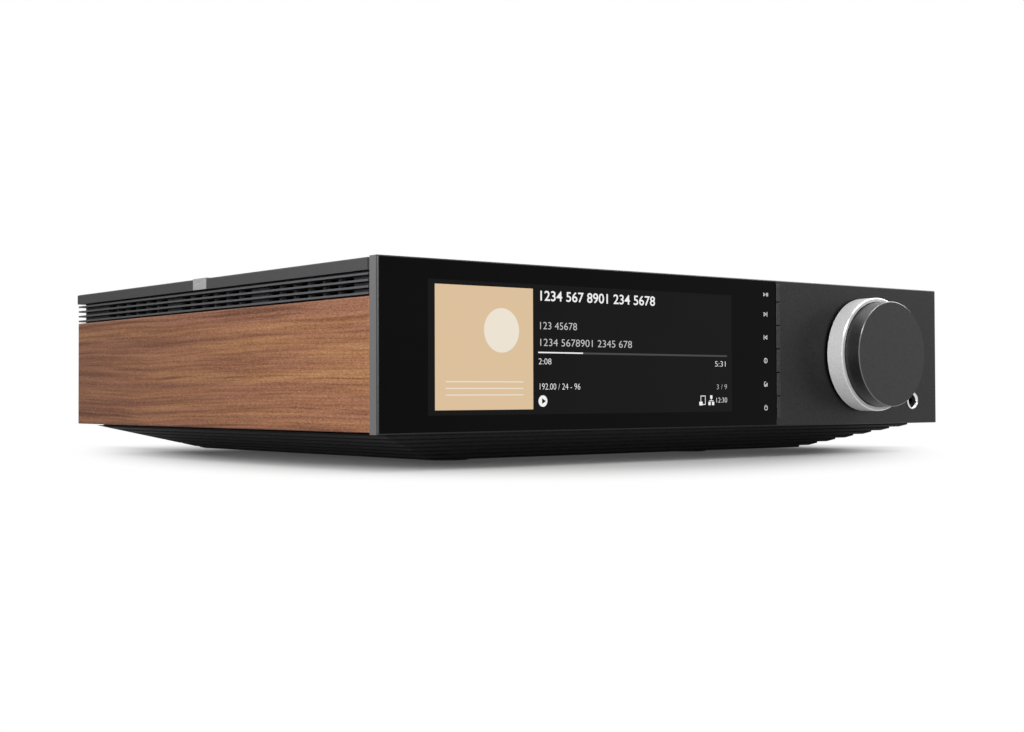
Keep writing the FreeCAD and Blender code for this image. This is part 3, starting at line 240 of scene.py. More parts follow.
def words(name, text, place, height, wide, material, align="LEFT", weight=0.0, rear=False):
    """Figures printed flat at a place, of one height and width, or of their own width for 0."""
    curve = bpy.data.curves.new(name, "FONT")
    curve.body, curve.align_x = text, align
    curve.size = height * mm / figure_share
    curve.extrude = film / 2 * mm
    curve.offset = weight * mm
    curve.resolution_u = 6
    shape = bpy.data.objects.new(name, curve)
    mesh = bpy.data.meshes.new_from_object(shape)
    bpy.data.objects.remove(shape)
    across = [vertex.co.x for vertex in mesh.vertices]
    fill = Matrix.Scale(wide * mm / (max(across) - min(across)) if wide else 1.0, 4, (1, 0, 0))
    turn = Matrix.Rotation(math.pi if rear else 0.0, 4, "Z") @ Matrix.Rotation(math.pi / 2, 4, "X")
    mesh.transform(Matrix.Translation(place) @ turn @ fill)
    bm = bmesh.new()
    bm.from_mesh(mesh)
    bmesh.ops.remove_doubles(bm, verts=bm.verts, dist=merged_within)
    return piece(name, bm, "chassis", material, sharp=20)


# Screen light through coated glass: flat clean colours with the glass's sharp weak reflection. Like
# the glass, each varies over tens of millimetres.
white_light = lit("white_backlight", "#f2f2f2")
grey_light = lit("grey_backlight", "#c4c4c4")
dim_light = lit("dim_backlight", "#484848")
tan_light = lit("tan_backlight", "#dcc09c")
pale_light = lit("pale_backlight", "#ece2d2")
screen_dark = "#101011"

bm = bmesh.new()
screen_left, screen_right, screen_low, screen_high = 21.3, 176.7, 6.5, 55.1
bar(bm, screen_left, screen_right, screen_low, screen_high, level=0.4)
piece("screen_area", bm, "chassis", lit("dark_backlight", screen_dark))
bm = bmesh.new()
square_left, square_right, square_low, square_high = 24.3, 69.4, 8.35, 53.45
bar(bm, square_left, square_right, square_low, square_high, level=1)
piece("picture_square", bm, "chassis", tan_light)
bm = bmesh.new()
pale_disc_x, pale_disc_z, pale_disc_radius = 54.5, 37.5, 8.2
disc(bm, pale_disc_x, pale_disc_z, pale_disc_radius)
line_left, line_right, line_thickness = 29.0, 64.7, 0.35
for z in (18.4, 16.0, 13.6):
    bar(bm, line_left, line_right, z, z + line_thickness)
piece("picture_marks", bm, "chassis", pale_light)

# Marks beside the text: the line of time played, a play mark, and a network and a two-screen sign,
# whose bars are listed by their left, right, low and high edges.
text_x, text_end = 71.9, 173.9
played_to = 94.2
played_low, played_high = 29.4, 29.9
unplayed_low, unplayed_high = 29.25, 29.95
play_x, play_z, play_radius = 74.1, 11.4, 2.15
arrow_x, arrow_radius = 74.3, 1.25
sign_bars = [
    (162.7, 164.0, 9.25, 10.65),
    (164.8, 166.1, 9.25, 10.65),
    (163.75, 165.05, 11.9, 13.3),
    (164.25, 164.55, 10.9, 12.0),
    (163.15, 165.65, 10.9, 11.2),
    (158.15, 158.45, 9.4, 13.2),
    (160.75, 161.05, 9.4, 13.2),
    (158.3, 160.9, 9.4, 9.7),
    (158.3, 160.9, 12.9, 13.2),
    (157.4, 159.3, 9.2, 10.7),
]
bm = bmesh.new()
bar(bm, text_x, played_to, played_low, played_high)
disc(bm, play_x, play_z, play_radius)
for edges in sign_bars:
    bar(bm, *edges)
piece("screen_marks_white", bm, "chassis", white_light)
bm = bmesh.new()
bar(bm, played_to, text_end, unplayed_low, unplayed_high)
piece("screen_marks_grey", bm, "chassis", dim_light)
bm = bmesh.new()
disc(bm, arrow_x, play_z, arrow_radius, sides=3, turn=90, level=3)
piece("screen_play_mark", bm, "chassis", lit("dark_mark", screen_dark))

# Each row of figures: piece, text, x and z of its start or end, height, width, the side that it is
# set from, how much bolder it is, and its light.
screen_text = [
    ("screen_title", "1234 567 8901 234 5678", text_x, 49.2, 3.7, 59.5, "LEFT", 0.06, white_light),
    ("screen_line_one", "123 45678", text_x, 38.4, 2.8, 18.3, "LEFT", -0.03, grey_light),
    ("screen_line_two", "1234 5678901 2345 678", text_x, 32.1, 2.8, 46.9, "LEFT", -0.03, grey_light),
    ("screen_time_gone", "2:08", text_x, 25.2, 2.3, 6.2, "LEFT", -0.05, white_light),
    ("screen_time_left", "5:31", text_end, 25.2, 2.3, 6.2, "RIGHT", -0.05, white_light),
    ("screen_rate", "192.00 / 24 - 96", text_x, 15.7, 2.4, 20.1, "LEFT", -0.05, white_light),
    ("screen_count", "3 / 9", text_end, 15.8, 2.1, 6.0, "RIGHT", -0.05, grey_light),
    ("screen_clock", "12:30", text_end, 10.3, 2.1, 6.3, "RIGHT", -0.05, white_light),
]
for name, text, x, z, height, wide, align, weight, material in screen_text:
    row = words(name, text, at(x, -film / 2, z), height, wide, material, align, weight)


# Push keys. Six slim anodised keys in one slot, each with a symbol lit through the glass beside
# it. They stand on moulded switches, which are soldered to a green board behind the panel.

# Anodised as the panel is, but greyer, so that the keys stand out from it, with a painted highlight
# down the left edge. The grain is really 0.1 mm and is drawn at 1.1 mm.
key_finish = finish("grey_anodised_key", "#343435", "#424243", 1.1, 0.4, 0.003, Metallic=1.0)
painted_highlight_edge = 0.2 * mm
tint_where(key_finish, "X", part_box("key_play")[0].x + painted_highlight_edge, "LESS_THAN", "#5e5e5f")
dress(key_finish, "key_standby", "key_source", "key_info", "key_previous", "key_next", "key_play")
# Moulded nylon: near black with a soft sheen. Its texture is really 0.1 mm and is drawn at 0.7 mm.
moulded_black = finish("moulded_black_nylon", "#161617", "#202021", 0.7, 0.45, 0.01)
dress(moulded_black, "key_switches")
# Solder mask: a glossy deep green, paler over the copper tracks, which are about 1.6 mm wide.
circuit_green = finish("solder_mask_green", "#0d3a22", "#1a5233", 1.6, 0.3, 0.02, stretch=(1, 4, 1))
dress(circuit_green, "front_board", "supply_board", "amplifier_board", "main_board")

# Symbols, in millimetres: the height of each key's middle, then each shape about that point.
symbol_x = 197.7
play_key_z, next_key_z, previous_key_z, info_key_z, source_key_z, standby_key_z = (
    56.2, 47.8, 37.9, 28.0, 18.0, 7.9)
play_head_shift, play_head_radius, play_head_centre = 0.7, 0.95, 0.42
skip_head_shift, skip_head_radius, skip_head_centre = 0.45, 1.15, 0.55
bm = bmesh.new()
disc(bm, symbol_x - play_head_shift, play_key_z, play_head_radius, sides=3, turn=90)
pause_shifts, pause_width, pause_half_height = (0.55, 1.3), 0.4, 0.75
for shift in pause_shifts:
    bar(bm, symbol_x + shift, symbol_x + shift + pause_width,
        play_key_z - pause_half_height, play_key_z + pause_half_height)
skip_bar_near, skip_bar_far, skip_bar_half_height = 0.8, 1.15, 1.0
for z, side in ((next_key_z, 1), (previous_key_z, -1)):
    disc(bm, symbol_x - side * skip_head_shift, z, skip_head_radius, sides=3, turn=90 * side)
    ends = sorted((symbol_x + side * skip_bar_near, symbol_x + side * skip_bar_far))
    bar(bm, ends[0], ends[1], z - skip_bar_half_height, z + skip_bar_half_height)
circle_outer, circle_inner = 1.1, 0.8
half_stroke, info_stem, info_dot = 0.15, (-0.5, 0.2), (0.35, 0.6)
hoop(bm, symbol_x, info_key_z, circle_outer, circle_inner)
for low, high in (info_stem, info_dot):
    bar(bm, symbol_x - half_stroke, symbol_x + half_stroke, info_key_z + low, info_key_z + high)
arch_outer, arch_inner = 1.15, 0.85
step_reach, step_width, step_pitch, step_height, step_rise = 1.0, 0.5, 0.75, 0.5, 0.5
hoop(bm, symbol_x, source_key_z, arch_outer, arch_inner, start=90, sweep=180)
for step in range(3):
    left = symbol_x - step_reach + step_pitch * step
    foot = source_key_z - step_reach
    bar(bm, left, left + step_width, foot, foot + step_height + step_rise * step)
standby_half_stroke, standby_foot, standby_top = 0.16, 0.1, 1.3
hoop(bm, symbol_x, standby_key_z, circle_outer, circle_inner, start=-60, sweep=300)
bar(bm, symbol_x - standby_half_stroke, symbol_x + standby_half_stroke,
    standby_key_z + standby_foot, standby_key_z + standby_top)
piece("key_symbols", bm, "chassis", lit("symbol_backlight", "#dcdcdc"))
bm = bmesh.new()
disc(bm, symbol_x - play_head_shift, play_key_z, play_head_centre, sides=3, turn=90, level=3)
for z, side in ((next_key_z, 1), (previous_key_z, -1)):
    disc(bm, symbol_x - side * skip_head_shift, z, skip_head_centre, sides=3, turn=90 * side, level=3)
piece("key_symbol_centres", bm, "chassis", lit("dark_symbol_centre", "#181818"))


# Volume knob. Turned from aluminium bar and anodised black: a flat satin face, a blasted side, and
# between them a cut edge that was left bright. It is pushed on to its shaft.
knob_low, knob_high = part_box("volume_knob")
knob_axis = (knob_low + knob_high) / 2
knob_radius = (knob_high.x - knob_low.x) / 2 / mm
knob_face = (knob_low.y - panel_low.y) / mm
knob_back = (knob_high.y - panel_low.y) / mm
knob_edge = 0.3
knob_back_edge = 0.3
knob_hollow_radius = 20.3
knob_boss_radius = 7.0
knob_floor = knob_face + 4.0
knob_bore_radius = 3.05
knob_bore_end = knob_back - 5.2
turning_steps = 192
# Two faces that lie nearer than this are one.
touch = 0.01


def turned(outline, axis, bm=None, steps=turning_steps):
    """A closed outline of (depth behind the panel's face, radius) in millimetres, spun round an axis."""
    if bm is None:
        bm = bmesh.new()
    corners = [bm.verts.new((axis.x + r * mm, panel_low.y + y * mm, axis.z)) for y, r in outline]
    edges = [bm.edges.new(pair) for pair in zip(corners, corners[1:] + corners[:1])]
    bmesh.ops.spin(bm, geom=corners + edges, cent=axis, axis=(0, 1, 0), angle=2 * math.pi, steps=steps,
                   use_merge=True, use_duplicate=False)
    bmesh.ops.remove_doubles(bm, verts=bm.verts, dist=10 * merged_within)
    loose = [edge for edge in bm.edges if not edge.link_faces]
    bmesh.ops.delete(bm, geom=loose, context="EDGES")
    bmesh.ops.recalc_face_normals(bm, faces=bm.faces)
    return bm


def depth_and_radius(face, axis):
    """How far behind the panel's face, and how far from its axis, a turned piece's face lies."""
    centre = face.calc_center_median()
    return (centre.y - panel_low.y) / mm, math.hypot(centre.x - axis.x, centre.z - axis.z) / mm


bm = turned([(knob_face, 0), (knob_face, knob_radius - knob_edge), (knob_face + knob_edge, knob_radius),
             (knob_back - knob_back_edge, knob_radius), (knob_back, knob_radius - knob_back_edge),
             (knob_back, knob_hollow_radius), (knob_floor, knob_hollow_radius),
             (knob_floor, knob_boss_radius), (knob_back, knob_boss_radius), (knob_back, knob_bore_radius),
             (knob_bore_end, knob_bore_radius), (knob_bore_end, 0)], knob_axis)
for face in bm.faces:
    depth = depth_and_radius(face, knob_axis)[0]
    if depth > knob_face + knob_edge:
        face.material_index = 2
    elif depth > knob_face + touch:
        face.material_index = 1
# Anodised over fine turning: an even satin black. The turning marks are too fine to draw, so the
# tone varies softly over 1.2 mm.
knob_face_finish = finish("black_anodised_turned_face", "#3a3a3b", "#3e3e3f", 1.2, 0.38, Metallic=1.0)
# Cut through the anodising: bare metal, which gives the eye a thin bright line.
knob_edge_finish = finish("satin_cut_edge", "#6a6a6b", "#727273", 1.0, 0.25, Metallic=1.0)
# Blasted before it was anodised: a softer black that takes more light than the face. The grain is
# really 0.1 mm and is drawn at 0.6 mm.
knob_side_finish = finish("black_anodised_side", "#505051", "#585859", 0.6, 0.42, Metallic=1.0)
knob = piece("volume_knob_turned", bm, "volume", knob_face_finish, knob_edge_finish, knob_side_finish,
             sharp=25)
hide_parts("volume_knob")


# Source ring. Turned from aluminium, bead blasted and anodised clear, which leaves it silver with a
# soft grain. Its front edge is cut bright, and the knob's foot stands in its recess.
ring_low, ring_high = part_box("source_ring")
ring_radius = (ring_high.x - ring_low.x) / 2 / mm
ring_front = (ring_low.y - panel_low.y) / mm
ring_back = (ring_high.y - panel_low.y) / mm
ring_lip = knob_radius + 0.3
ring_recess = ring_front + 1.1
ring_floor = ring_recess + 3.0
ring_edge = 0.45
ring_back_edge = 0.2
ring_hollow_radius = 11.2
ring_bore_radius = 4.55
bm = turned([(ring_back, ring_hollow_radius), (ring_back, ring_radius - ring_back_edge),
             (ring_back - ring_back_edge, ring_radius), (ring_front + ring_edge, ring_radius),
             (ring_front, ring_radius - ring_edge), (ring_front, ring_lip), (ring_recess, ring_lip),
             (ring_recess, ring_bore_radius), (ring_floor, ring_bore_radius),
             (ring_floor, ring_hollow_radius)], knob_axis)
for face in bm.faces:
    if ring_front + touch < depth_and_radius(face, knob_axis)[0] < ring_front + ring_edge:
        face.material_index = 1
# Clear anodised over blasting: a pale silver, soft and slightly sparkling. The grain is really
# 0.1 mm and is drawn at 0.5 mm.
clear_anodised = finish("clear_anodised_bead_blasted", "#dedede", "#f4f4f4", 0.5, 0.5, 0.01,
                        Metallic=0.1)
# Cut aluminium: a narrow band of brighter, smoother metal.
cut_edge = finish("bright_cut_edge", "#c8c8c8", "#d4d4d4", 1.0, 0.25, Metallic=0.9)
ring = piece("source_ring_turned", bm, "source", clear_anodised, cut_edge, sharp=25)
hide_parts("source_ring")


# Headphone socket. A polished nickel collar is pressed into the panel round a moulded jack. Inside
# it a polished cone leads down to a black moulded bush.
mounts = {mount["name"]: Vector(mount["pos_m"]) for mount in frame["record"]["mounts"]}
# Polished nickel: a mirror, with hardly any change of tone.
polished = finish("polished_nickel", "#dedede", "#ececec", 3.0, 0.08, Metallic=1.0)
dress(polished, "headphone_collar", "left_panel_magnets", "right_panel_magnets", "board_standoffs")
dress(moulded_black, "headphone_jack")
jack_axis = mounts["headphone_socket"]
cone_front, cone_mouth = -0.25, 3.36
cone_foot, cone_neck = 0.35, 2.8
bush_end, bush_radius, sleeve_radius = 1.35, 2.5, 2.98
sleeve_steps = 96
sleeve = turned([(cone_front, cone_mouth), (cone_foot, cone_neck), (bush_end, bush_radius),
                 (bush_end, sleeve_radius)], jack_axis, steps=sleeve_steps)
for face in sleeve.faces:
    depth, radius = depth_and_radius(face, jack_axis)
    if depth > cone_foot and radius < cone_neck:
        face.material_index = 1
piece("headphone_sleeve", sleeve, "chassis", polished, moulded_black)


# Top cover. Folded aluminium, bead blasted and anodised dark grey, laid on the extruded fins that
# close its sides. A strip of bare brushed metal is wrapped over its left edge.

# Anodised sheet: a dull dark grey that takes soft light evenly. The grain is really 0.1 mm and is
# drawn at 0.6 mm.
satin_grey = finish("satin_dark_grey_anodised", "#474748", "#4e4e4f", 0.6, 0.5, 0.004, IOR=1.1)
dress(satin_grey, "top_cover")
# Anodised extrusion: the same grey, with die lines 0.8 mm apart along the fins. The fins' outer tips
# are painted lighter, as painted light where light catches them.
fin_grey = finish("satin_grey_extruded_fins", "#3c3c3d", "#454546", 0.8, 0.5, 0.003,
                  stretch=(1, 4, 1), IOR=1.1)
painted_light_tip = 0.25 * mm
painted_light_tip_grey = "#58585a"
tint_where(fin_grey, "X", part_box("louvre_rail_left")[0].x + painted_light_tip, "LESS_THAN", painted_light_tip_grey)
tint_where(fin_grey, "X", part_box("louvre_rail_right")[1].x - painted_light_tip, "GREATER_THAN", painted_light_tip_grey)
dress(fin_grey, "louvre_rail_left", "louvre_rail_right")
# Bare brushed aluminium: bright, with lines along the depth. The lines are really 0.05 mm wide and
# are drawn at 0.25 mm.
brushed = finish("brushed_bare_aluminium", "#8e8e8e", "#a2a2a2", 0.25, 0.3, 0.004,
                 stretch=(1, 30, 1), Metallic=1.0)
dress(brushed, "cover_tab")


# Side panels. Boards of oiled walnut, planed and held to the body by magnets, with the grain along
# the depth. Oil gives the eye thin nearly straight streaks of gold and brown with dark growth lines
# between them, short fibres, and pores that catch the light.
def walnut(name, shift):
    """Oiled walnut, cut so many millimetres further on in the tree, so that no two boards match."""
    material, shader = blank(name, 0.5, IOR=1.12)
    tree = material.node_tree
    place = add(tree, "TexCoord", {}).outputs["Object"]
    cut = (shift * mm, 0, shift * mm)
    place = add(tree, "VectorMath", {0: place, 1: cut}, operation="ADD").outputs[0]
    # The grain wanders up and down by up to 7 mm, in waves of 1/12 m across and 1/8 m along it.
    waves = add(tree, "Mapping", {"Vector": place, "Scale": (12, 8, 12)}).outputs[0]
    wander = add(tree, "TexNoise", {"Vector": waves, "Scale": 1.0, "Detail": 2.0}).outputs["Color"]
    rise = (0.0, 0.0, 7.0 * mm)
    bent = add(tree, "VectorMath", {0: wander, 1: rise, 2: place}, operation="MULTIPLY_ADD").outputs[0]

    # Each kind of mark: its height and length in millimetres, and its noise's detail and roughness.
    # Fibres and pores are really 0.1 mm high and are drawn coarser, so that they show.
    kinds = {
        "bands": (5.0, 220.0, 3.0, 0.55),
        "streaks": (1.2, 70.0, 3.0, 0.6),
        "lines": (2.4, 160.0, 2.0, 0.5),
        "fibres": (0.45, 1.8, 2.0, 0.7),
        "pores": (0.3, 1.0, 1.0, 0.5),
    }
    marks = {}
    for kind, (high, long, detail, rough) in kinds.items():
        size = (1 / (high * mm), 1 / (long * mm), 1 / (high * mm))
        placed = add(tree, "Mapping", {"Vector": bent, "Scale": size}).outputs[0]
        noise = {"Vector": placed, "Scale": 1.0, "Detail": detail, "Roughness": rough}
        marks[kind] = add(tree, "TexNoise", noise).outputs[0]

    wood = add(tree, "ValToRGB", {0: marks["bands"]},
               [(0.33, "#926651"), (0.70, "#bb8c63"), (0.45, "#9f7059"), (0.55, "#a9795a")]).outputs[0]
    streak = add(tree, "ValToRGB", {0: marks["streaks"]}, [(0.36, "#d2c8c2"), (0.60, "#ffffff")])
    wood = add(tree, "Mix", {0: 1.0, 6: wood, 7: streak.outputs[0]}, data_type="RGBA",
               blend_type="MULTIPLY").outputs[2]
    line = add(tree, "MapRange", {"Value": marks["lines"], "From Min": 0.36, "From Max": 0.31,
                                  "To Max": 0.5})
    wood = add(tree, "Mix", {0: line.outputs[0], 6: wood, 7: linear("#5f3d2e")},
               data_type="RGBA").outputs[2]
    fibre = add(tree, "ValToRGB", {0: marks["fibres"]}, [(0.34, "#d3c9c3"), (0.64, "#ffffff")])
    wood = add(tree, "Mix", {0: 1.0, 6: wood, 7: fibre.outputs[0]}, data_type="RGBA",
               blend_type="MULTIPLY").outputs[2]
    pore = add(tree, "MapRange", {"Value": marks["pores"], "From Min": 0.60, "From Max": 0.74,
                                  "To Max": 0.35})
    wood = add(tree, "Mix", {0: pore.outputs[0], 6: wood, 7: linear("#d6a983")},
               data_type="RGBA").outputs[2]
    tree.links.new(wood, shader.inputs["Base Color"])
    bump = add(tree, "Bump", {"Height": marks["fibres"], "Distance": 0.02 * mm})
    tree.links.new(bump.outputs[0], shader.inputs["Normal"])
    return material


dress(walnut("oiled_walnut_left", 11.0), "side_panel_left")
dress(walnut("oiled_walnut_right", 37.0), "side_panel_right")


# Base and feet. The stepped base is a black painted casting; four moulded rubber feet are screwed
# under it, and the tray above it is folded plated steel.

# Painted casting: matt black, slightly uneven over about 0.9 mm, as the cast skin is.
base_black = finish("matt_black_painted_casting", "#2d2d2e", "#343435", 0.9, 0.6, 0.004, IOR=1.1)
dress(base_black, "stepped_base", "front_subpanel")
# Moulded rubber: black and dull. Its texture is really 0.1 mm and is drawn at 0.7 mm.
rubber = finish("moulded_black_rubber", "#141414", "#1d1d1d", 0.7, 0.75, 0.02)
dress(rubber, "rubber_feet")
# Blackened steel: a dark metal with an oily shine, cloudy over about 1 mm.
blackened = finish("blackened_steel_screw", "#1c1c1d", "#29292a", 1.0, 0.35, 0.002, Metallic=1.0)
dress(blackened, "foot_screws")


# Rear panel. Folded steel, powder coated black with a fine texture, and held by six black screws.
# Each socket has a plain number printed beside it.

# Powder coat: a dull black of small bumps about 0.7 mm apart.
powder_black = finish("black_powder_coat", "#171718", "#242425", 0.7, 0.55, 0.02)
dress(powder_black, "rear_panel")
dress(blackened, "rear_screws")
# Screen print: a flat off-white, thinner in places 0.8 mm wide.
screen_print = finish("white_screen_print", "#c9c9c7", "#d6d6d4", 0.8, 0.6)
rear_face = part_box("rear_panel")[1].y
print_height = 2.2
phono_drop, small_socket_drop, square_socket_drop = 9.2 * mm, 8.4 * mm, 4.0 * mm


def middle(node):
    """The middle of a node's box."""
    low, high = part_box(node)
    return (low + high) / 2


def printed_number(name, number, x, z, face=rear_face):
    """A number on the rear, centred over x with its foot at z."""
    place = Vector((x, face + film / 2 * mm, z))
    words(name, str(number), place, print_height, 0, screen_print, "CENTER", rear=True)


for number in (1, 2, 3, 4):
    place = mounts[f"phono_socket_{number}"]
    printed_number(f"number_phono_{number}", number, place.x, place.z - phono_drop)
small_sockets = ("control_jack_1", "control_jack_2", "antenna_socket_1", "antenna_socket_2")
for number, socket in enumerate(small_sockets, 5):
    place = mounts[socket]
    printed_number(f"number_{socket}", number, place.x, place.z - small_socket_drop)
square_sockets = ("hdmi_socket", "usb_sockets", "network_socket", "optical_socket")
for number, socket in enumerate(square_sockets, 9):
    socket_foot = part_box(socket)[0].z
    printed_number(f"number_{socket}", number, middle(socket).x, socket_foot - square_socket_drop)


# Speaker terminals. Gilt brass posts stand in a moulded block, under screw caps of clear-coated
# plastic in red and black.

# Glass filled nylon: near black with a low sheen, mottled over about 0.9 mm where the glass lies.
moulded_socket = finish("glass_filled_nylon", "#121213", "#1b1b1c", 0.9, 0.4, 0.008)
# Gold plate on brass: warm, bright and smooth, with its tone varying over 1.5 mm.
gold_plate = finish("gold_plated_brass", "#d8b060", "#e6c479", 1.5, 0.2, 0.002, Metallic=1.0)
# Clear-coated polycarbonate: deep smooth colours with a glossy reflection.
cap_black = finish("black_polycarbonate_cap", "#101011", "#161617", 2.0, 0.25)
cap_red = finish("red_polycarbonate_cap", "#8e1618", "#9c1d1f", 2.0, 0.25)
dress(moulded_socket, "speaker_block")
dress(gold_plate, "speaker_posts")
dress(cap_black, "speaker_cap_1", "speaker_cap_3")
dress(cap_red, "speaker_cap_2", "speaker_cap_4")
block_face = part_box("speaker_block")[1].y
cap_rise = 8.8 * mm
sockets_before = 12
for number in (1, 2, 3, 4):
    place = mounts[f"speaker_post_{number}"]
    printed_number(f"number_speaker_{number}", sockets_before + number, place.x, place.z + cap_rise,
                   block_face)


# Round sockets. The phono and antenna sockets are gilt brass with a moulded insulator let into the
# end: white or red for phono, as pairs are marked, and white for the antennas.
dress(gold_plate, "phono_sockets", "antenna_sockets")
dress(moulded_socket, "control_jacks")
# Moulded plastic: plain white or red with a soft shine.
insulator_white = finish("white_moulded_insulator", "#cfcfca", "#dcdcd8", 1.0, 0.4)
insulator_red = finish("red_moulded_insulator", "#8c1c1a", "#9a2422", 1.0, 0.4)
insulator_sunk, insulator_proud = 0.3, 0.12
phono_inner, phono_outer = 1.7, 3.2
antenna_inner, antenna_outer = 0.95, 2.3
insulator_steps = 64


def insulator(bm, place, end_face, inner, outer):
    """A flat ring let into the end of a round socket."""
    end = (end_face - panel_low.y) / mm
    turned([(end - insulator_sunk, inner), (end - insulator_sunk, outer), (end + insulator_proud, outer),
            (end + insulator_proud, inner)], place, bm, steps=insulator_steps)


phono_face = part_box("phono_sockets")[1].y
for name, material, numbers in (("phono_insulators_white", insulator_white, (2, 4)),
                                ("phono_insulators_red", insulator_red, (1, 3))):
    bm = bmesh.new()
    for number in numbers:
        insulator(bm, mounts[f"phono_socket_{number}"], phono_face, phono_inner, phono_outer)
    piece(name, bm, "chassis", material)
antenna_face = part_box("antenna_sockets")[1].y
bm = bmesh.new()
for number in (1, 2):
    insulator(bm, mounts[f"antenna_socket_{number}"], antenna_face, antenna_inner, antenna_outer)
piece("antenna_insulators", bm, "chassis", insulator_white)


# Square sockets. Drawn steel shells, tin plated, for the picture link and the two data sockets, with
# gilt contacts on a moulded tongue; the network socket has a die-cast shell and eight spring contacts.

# Tin plate on steel: pale grey and fairly bright, clouded over about 2 mm.
tin_shell = finish("tin_plated_shell", "#b4b5b3", "#cccdca", 2.0, 0.25, 0.002, Metallic=1.0)
dress(tin_shell, "hdmi_socket", "usb_sockets")
dress(moulded_socket, "optical_socket", "optical_shutter")


def contact(bm, x, half_width, face, back, front, low_z, high_z):
    """A square contact that runs between two depths, in millimetres, inside a socket's end face."""
    return block(bm, Vector((x - half_width * mm, face - back * mm, low_z)),
                 Vector((x + half_width * mm, face - front * mm, high_z)))


# Four contacts lie on the tongue of each data socket, and eight springs side by side in the network
# socket. Steps, widths and depths are in millimetres.
contact_back = 11.0
data_steps, data_half_width, data_front = (-3.5, -1.2, 1.2, 3.5), 0.5, 4.7
tongue_height, half_tongue, data_proud = 3.2 * mm, 0.9 * mm, 0.15 * mm
spring_pitch, spring_half_width, spring_front = 1.02, 0.18, 3.0
spring_low, spring_high = 1.7 * mm, 2.3 * mm
springs = 8
bm = bmesh.new()
low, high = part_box("usb_sockets")
for z in (low.z + tongue_height, high.z - tongue_height):
    for step in data_steps:
        x = middle("usb_sockets").x + step * mm
        contact(bm, x, data_half_width, high.y, contact_back, data_front, z, z + half_tongue + data_proud)
low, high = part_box("network_socket")
for step in range(springs):
    x = middle("network_socket").x + (step - (springs - 1) / 2) * spring_pitch * mm
    contact(bm, x, spring_half_width, high.y, contact_back, spring_front,
            low.z + spring_low, low.z + spring_high)
piece("gilt_contacts", bm, "chassis", gold_plate)


# Mains inlet. One moulding holds the inlet and the power rocker; three nickel plated brass blades
# stand in the inlet, and the rocker carries a ring and a bar.
dress(moulded_socket, "mains_inlet", "power_rocker")
# Nickel plate on brass: a warm light grey metal, clouded over about 2 mm.
blade_plate = finish("nickel_plated_blade", "#b9b8b2", "#cdccc7", 2.0, 0.25, 0.002, Metallic=1.0)
inlet = middle("mains_inlet")
inlet_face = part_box("mains_inlet")[1].y
# The inlet's middle is 12 mm to one side of the moulding's, and its middle blade stands higher.
inlet_shift = -12.0
blade_places = ((-7.0, -1.0), (0.0, 1.0), (7.0, -1.0))
blade_half_width, blade_half_height, blade_back, blade_front = 1.05, 2.05 * mm, 15.9, 4.75
blade_rounding = 0.25 * mm
bm = bmesh.new()
for step, lift in blade_places:
    x = inlet.x + (inlet_shift + step) * mm
    z = inlet.z + lift * mm
    contact(bm, x, blade_half_width, inlet_face, blade_back, blade_front,
            z - blade_half_height, z + blade_half_height)
bmesh.ops.bevel(bm, geom=bm.edges, offset=blade_rounding, segments=2, profile=0.5, affect="EDGES",
                material=-1)
piece("inlet_blades", bm, "chassis", blade_plate)

# At rest the bar's half of the rocker is tilted and stands further out, and the ring's half is upright.
rocker_top = Vector((middle("power_rocker").x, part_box("power_rocker")[1].y, inlet.z))
bar_place = rocker_top + Vector((0, -1.06, 4.0)) * mm
half_bar = Vector((0.35, 0.05, 1.4)) * mm
bar_tilt = math.radians(-14.4)
bm = bmesh.new()
bar_points = block(bm, bar_place - half_bar, bar_place + half_bar)
bmesh.ops.rotate(bm, cent=bar_place, matrix=Matrix.Rotation(bar_tilt, 3, "X"), verts=bar_points)
ring_place = rocker_top + Vector((0, -2.1, -4.4)) * mm
ring_depth = (ring_place.y - panel_low.y) / mm
mark_inner, mark_outer, half_print, mark_steps = 1.0, 1.5, 0.05, 48
turned([(ring_depth - half_print, mark_inner), (ring_depth - half_print, mark_outer),
        (ring_depth + half_print, mark_outer), (ring_depth + half_print, mark_inner)],
       ring_place, bm, steps=mark_steps)
piece("rocker_marks", bm, "rocker", screen_print)


# Inside. A transformer of stacked steel sheets, capacitors and a heatsink stand on the boards, and
# are soldered or screwed to them. They show only through the slots.

# Varnished steel: brown and half glossy, in layers about 0.4 mm thick.
steel_core = finish("varnished_steel_core", "#3a2c1c", "#54422c", 1.2, 0.4, 0.02, stretch=(1, 1, 0.3))
dress(steel_core, "supply_transformer")
# Shrunk sleeve: a glossy blue black, rippled over about 3 mm.
sleeve_black = finish("shrunk_pvc_sleeve", "#15151c", "#1d1d27", 3.0, 0.2, 0.01)
dress(sleeve_black, "supply_capacitors")
# Black anodised extrusion: a dark satin metal, slightly uneven over about 1 mm.
sink_black = finish("black_anodised_extrusion", "#252526", "#323233", 1.0, 0.4, 0.01, Metallic=1.0)
dress(sink_black, "heatsink")


# Studio. A floor of grey paper, whose grey is painted shade round the part, that keeps the lamps'
# shadow near the part and fades to white; white all round for the camera, and soft lamps above, in
# front, at both sides, behind and at the rear.
def soft_box(name, place, target, wide, high, watts):
    """A large area lamp that faces a point."""
    lamp = bpy.data.lights.new(name, "AREA")
    lamp.shape, lamp.size, lamp.size_y, lamp.energy = "RECTANGLE", wide, high, watts
    obj = bpy.data.objects.new(name, lamp)
    obj.location = place
    obj.rotation_euler = (Vector(target) - Vector(place)).to_track_quat("-Z", "Y").to_euler()
    obj.visible_camera = False
    bpy.context.scene.collection.objects.link(obj)


light_on_part = 0.22


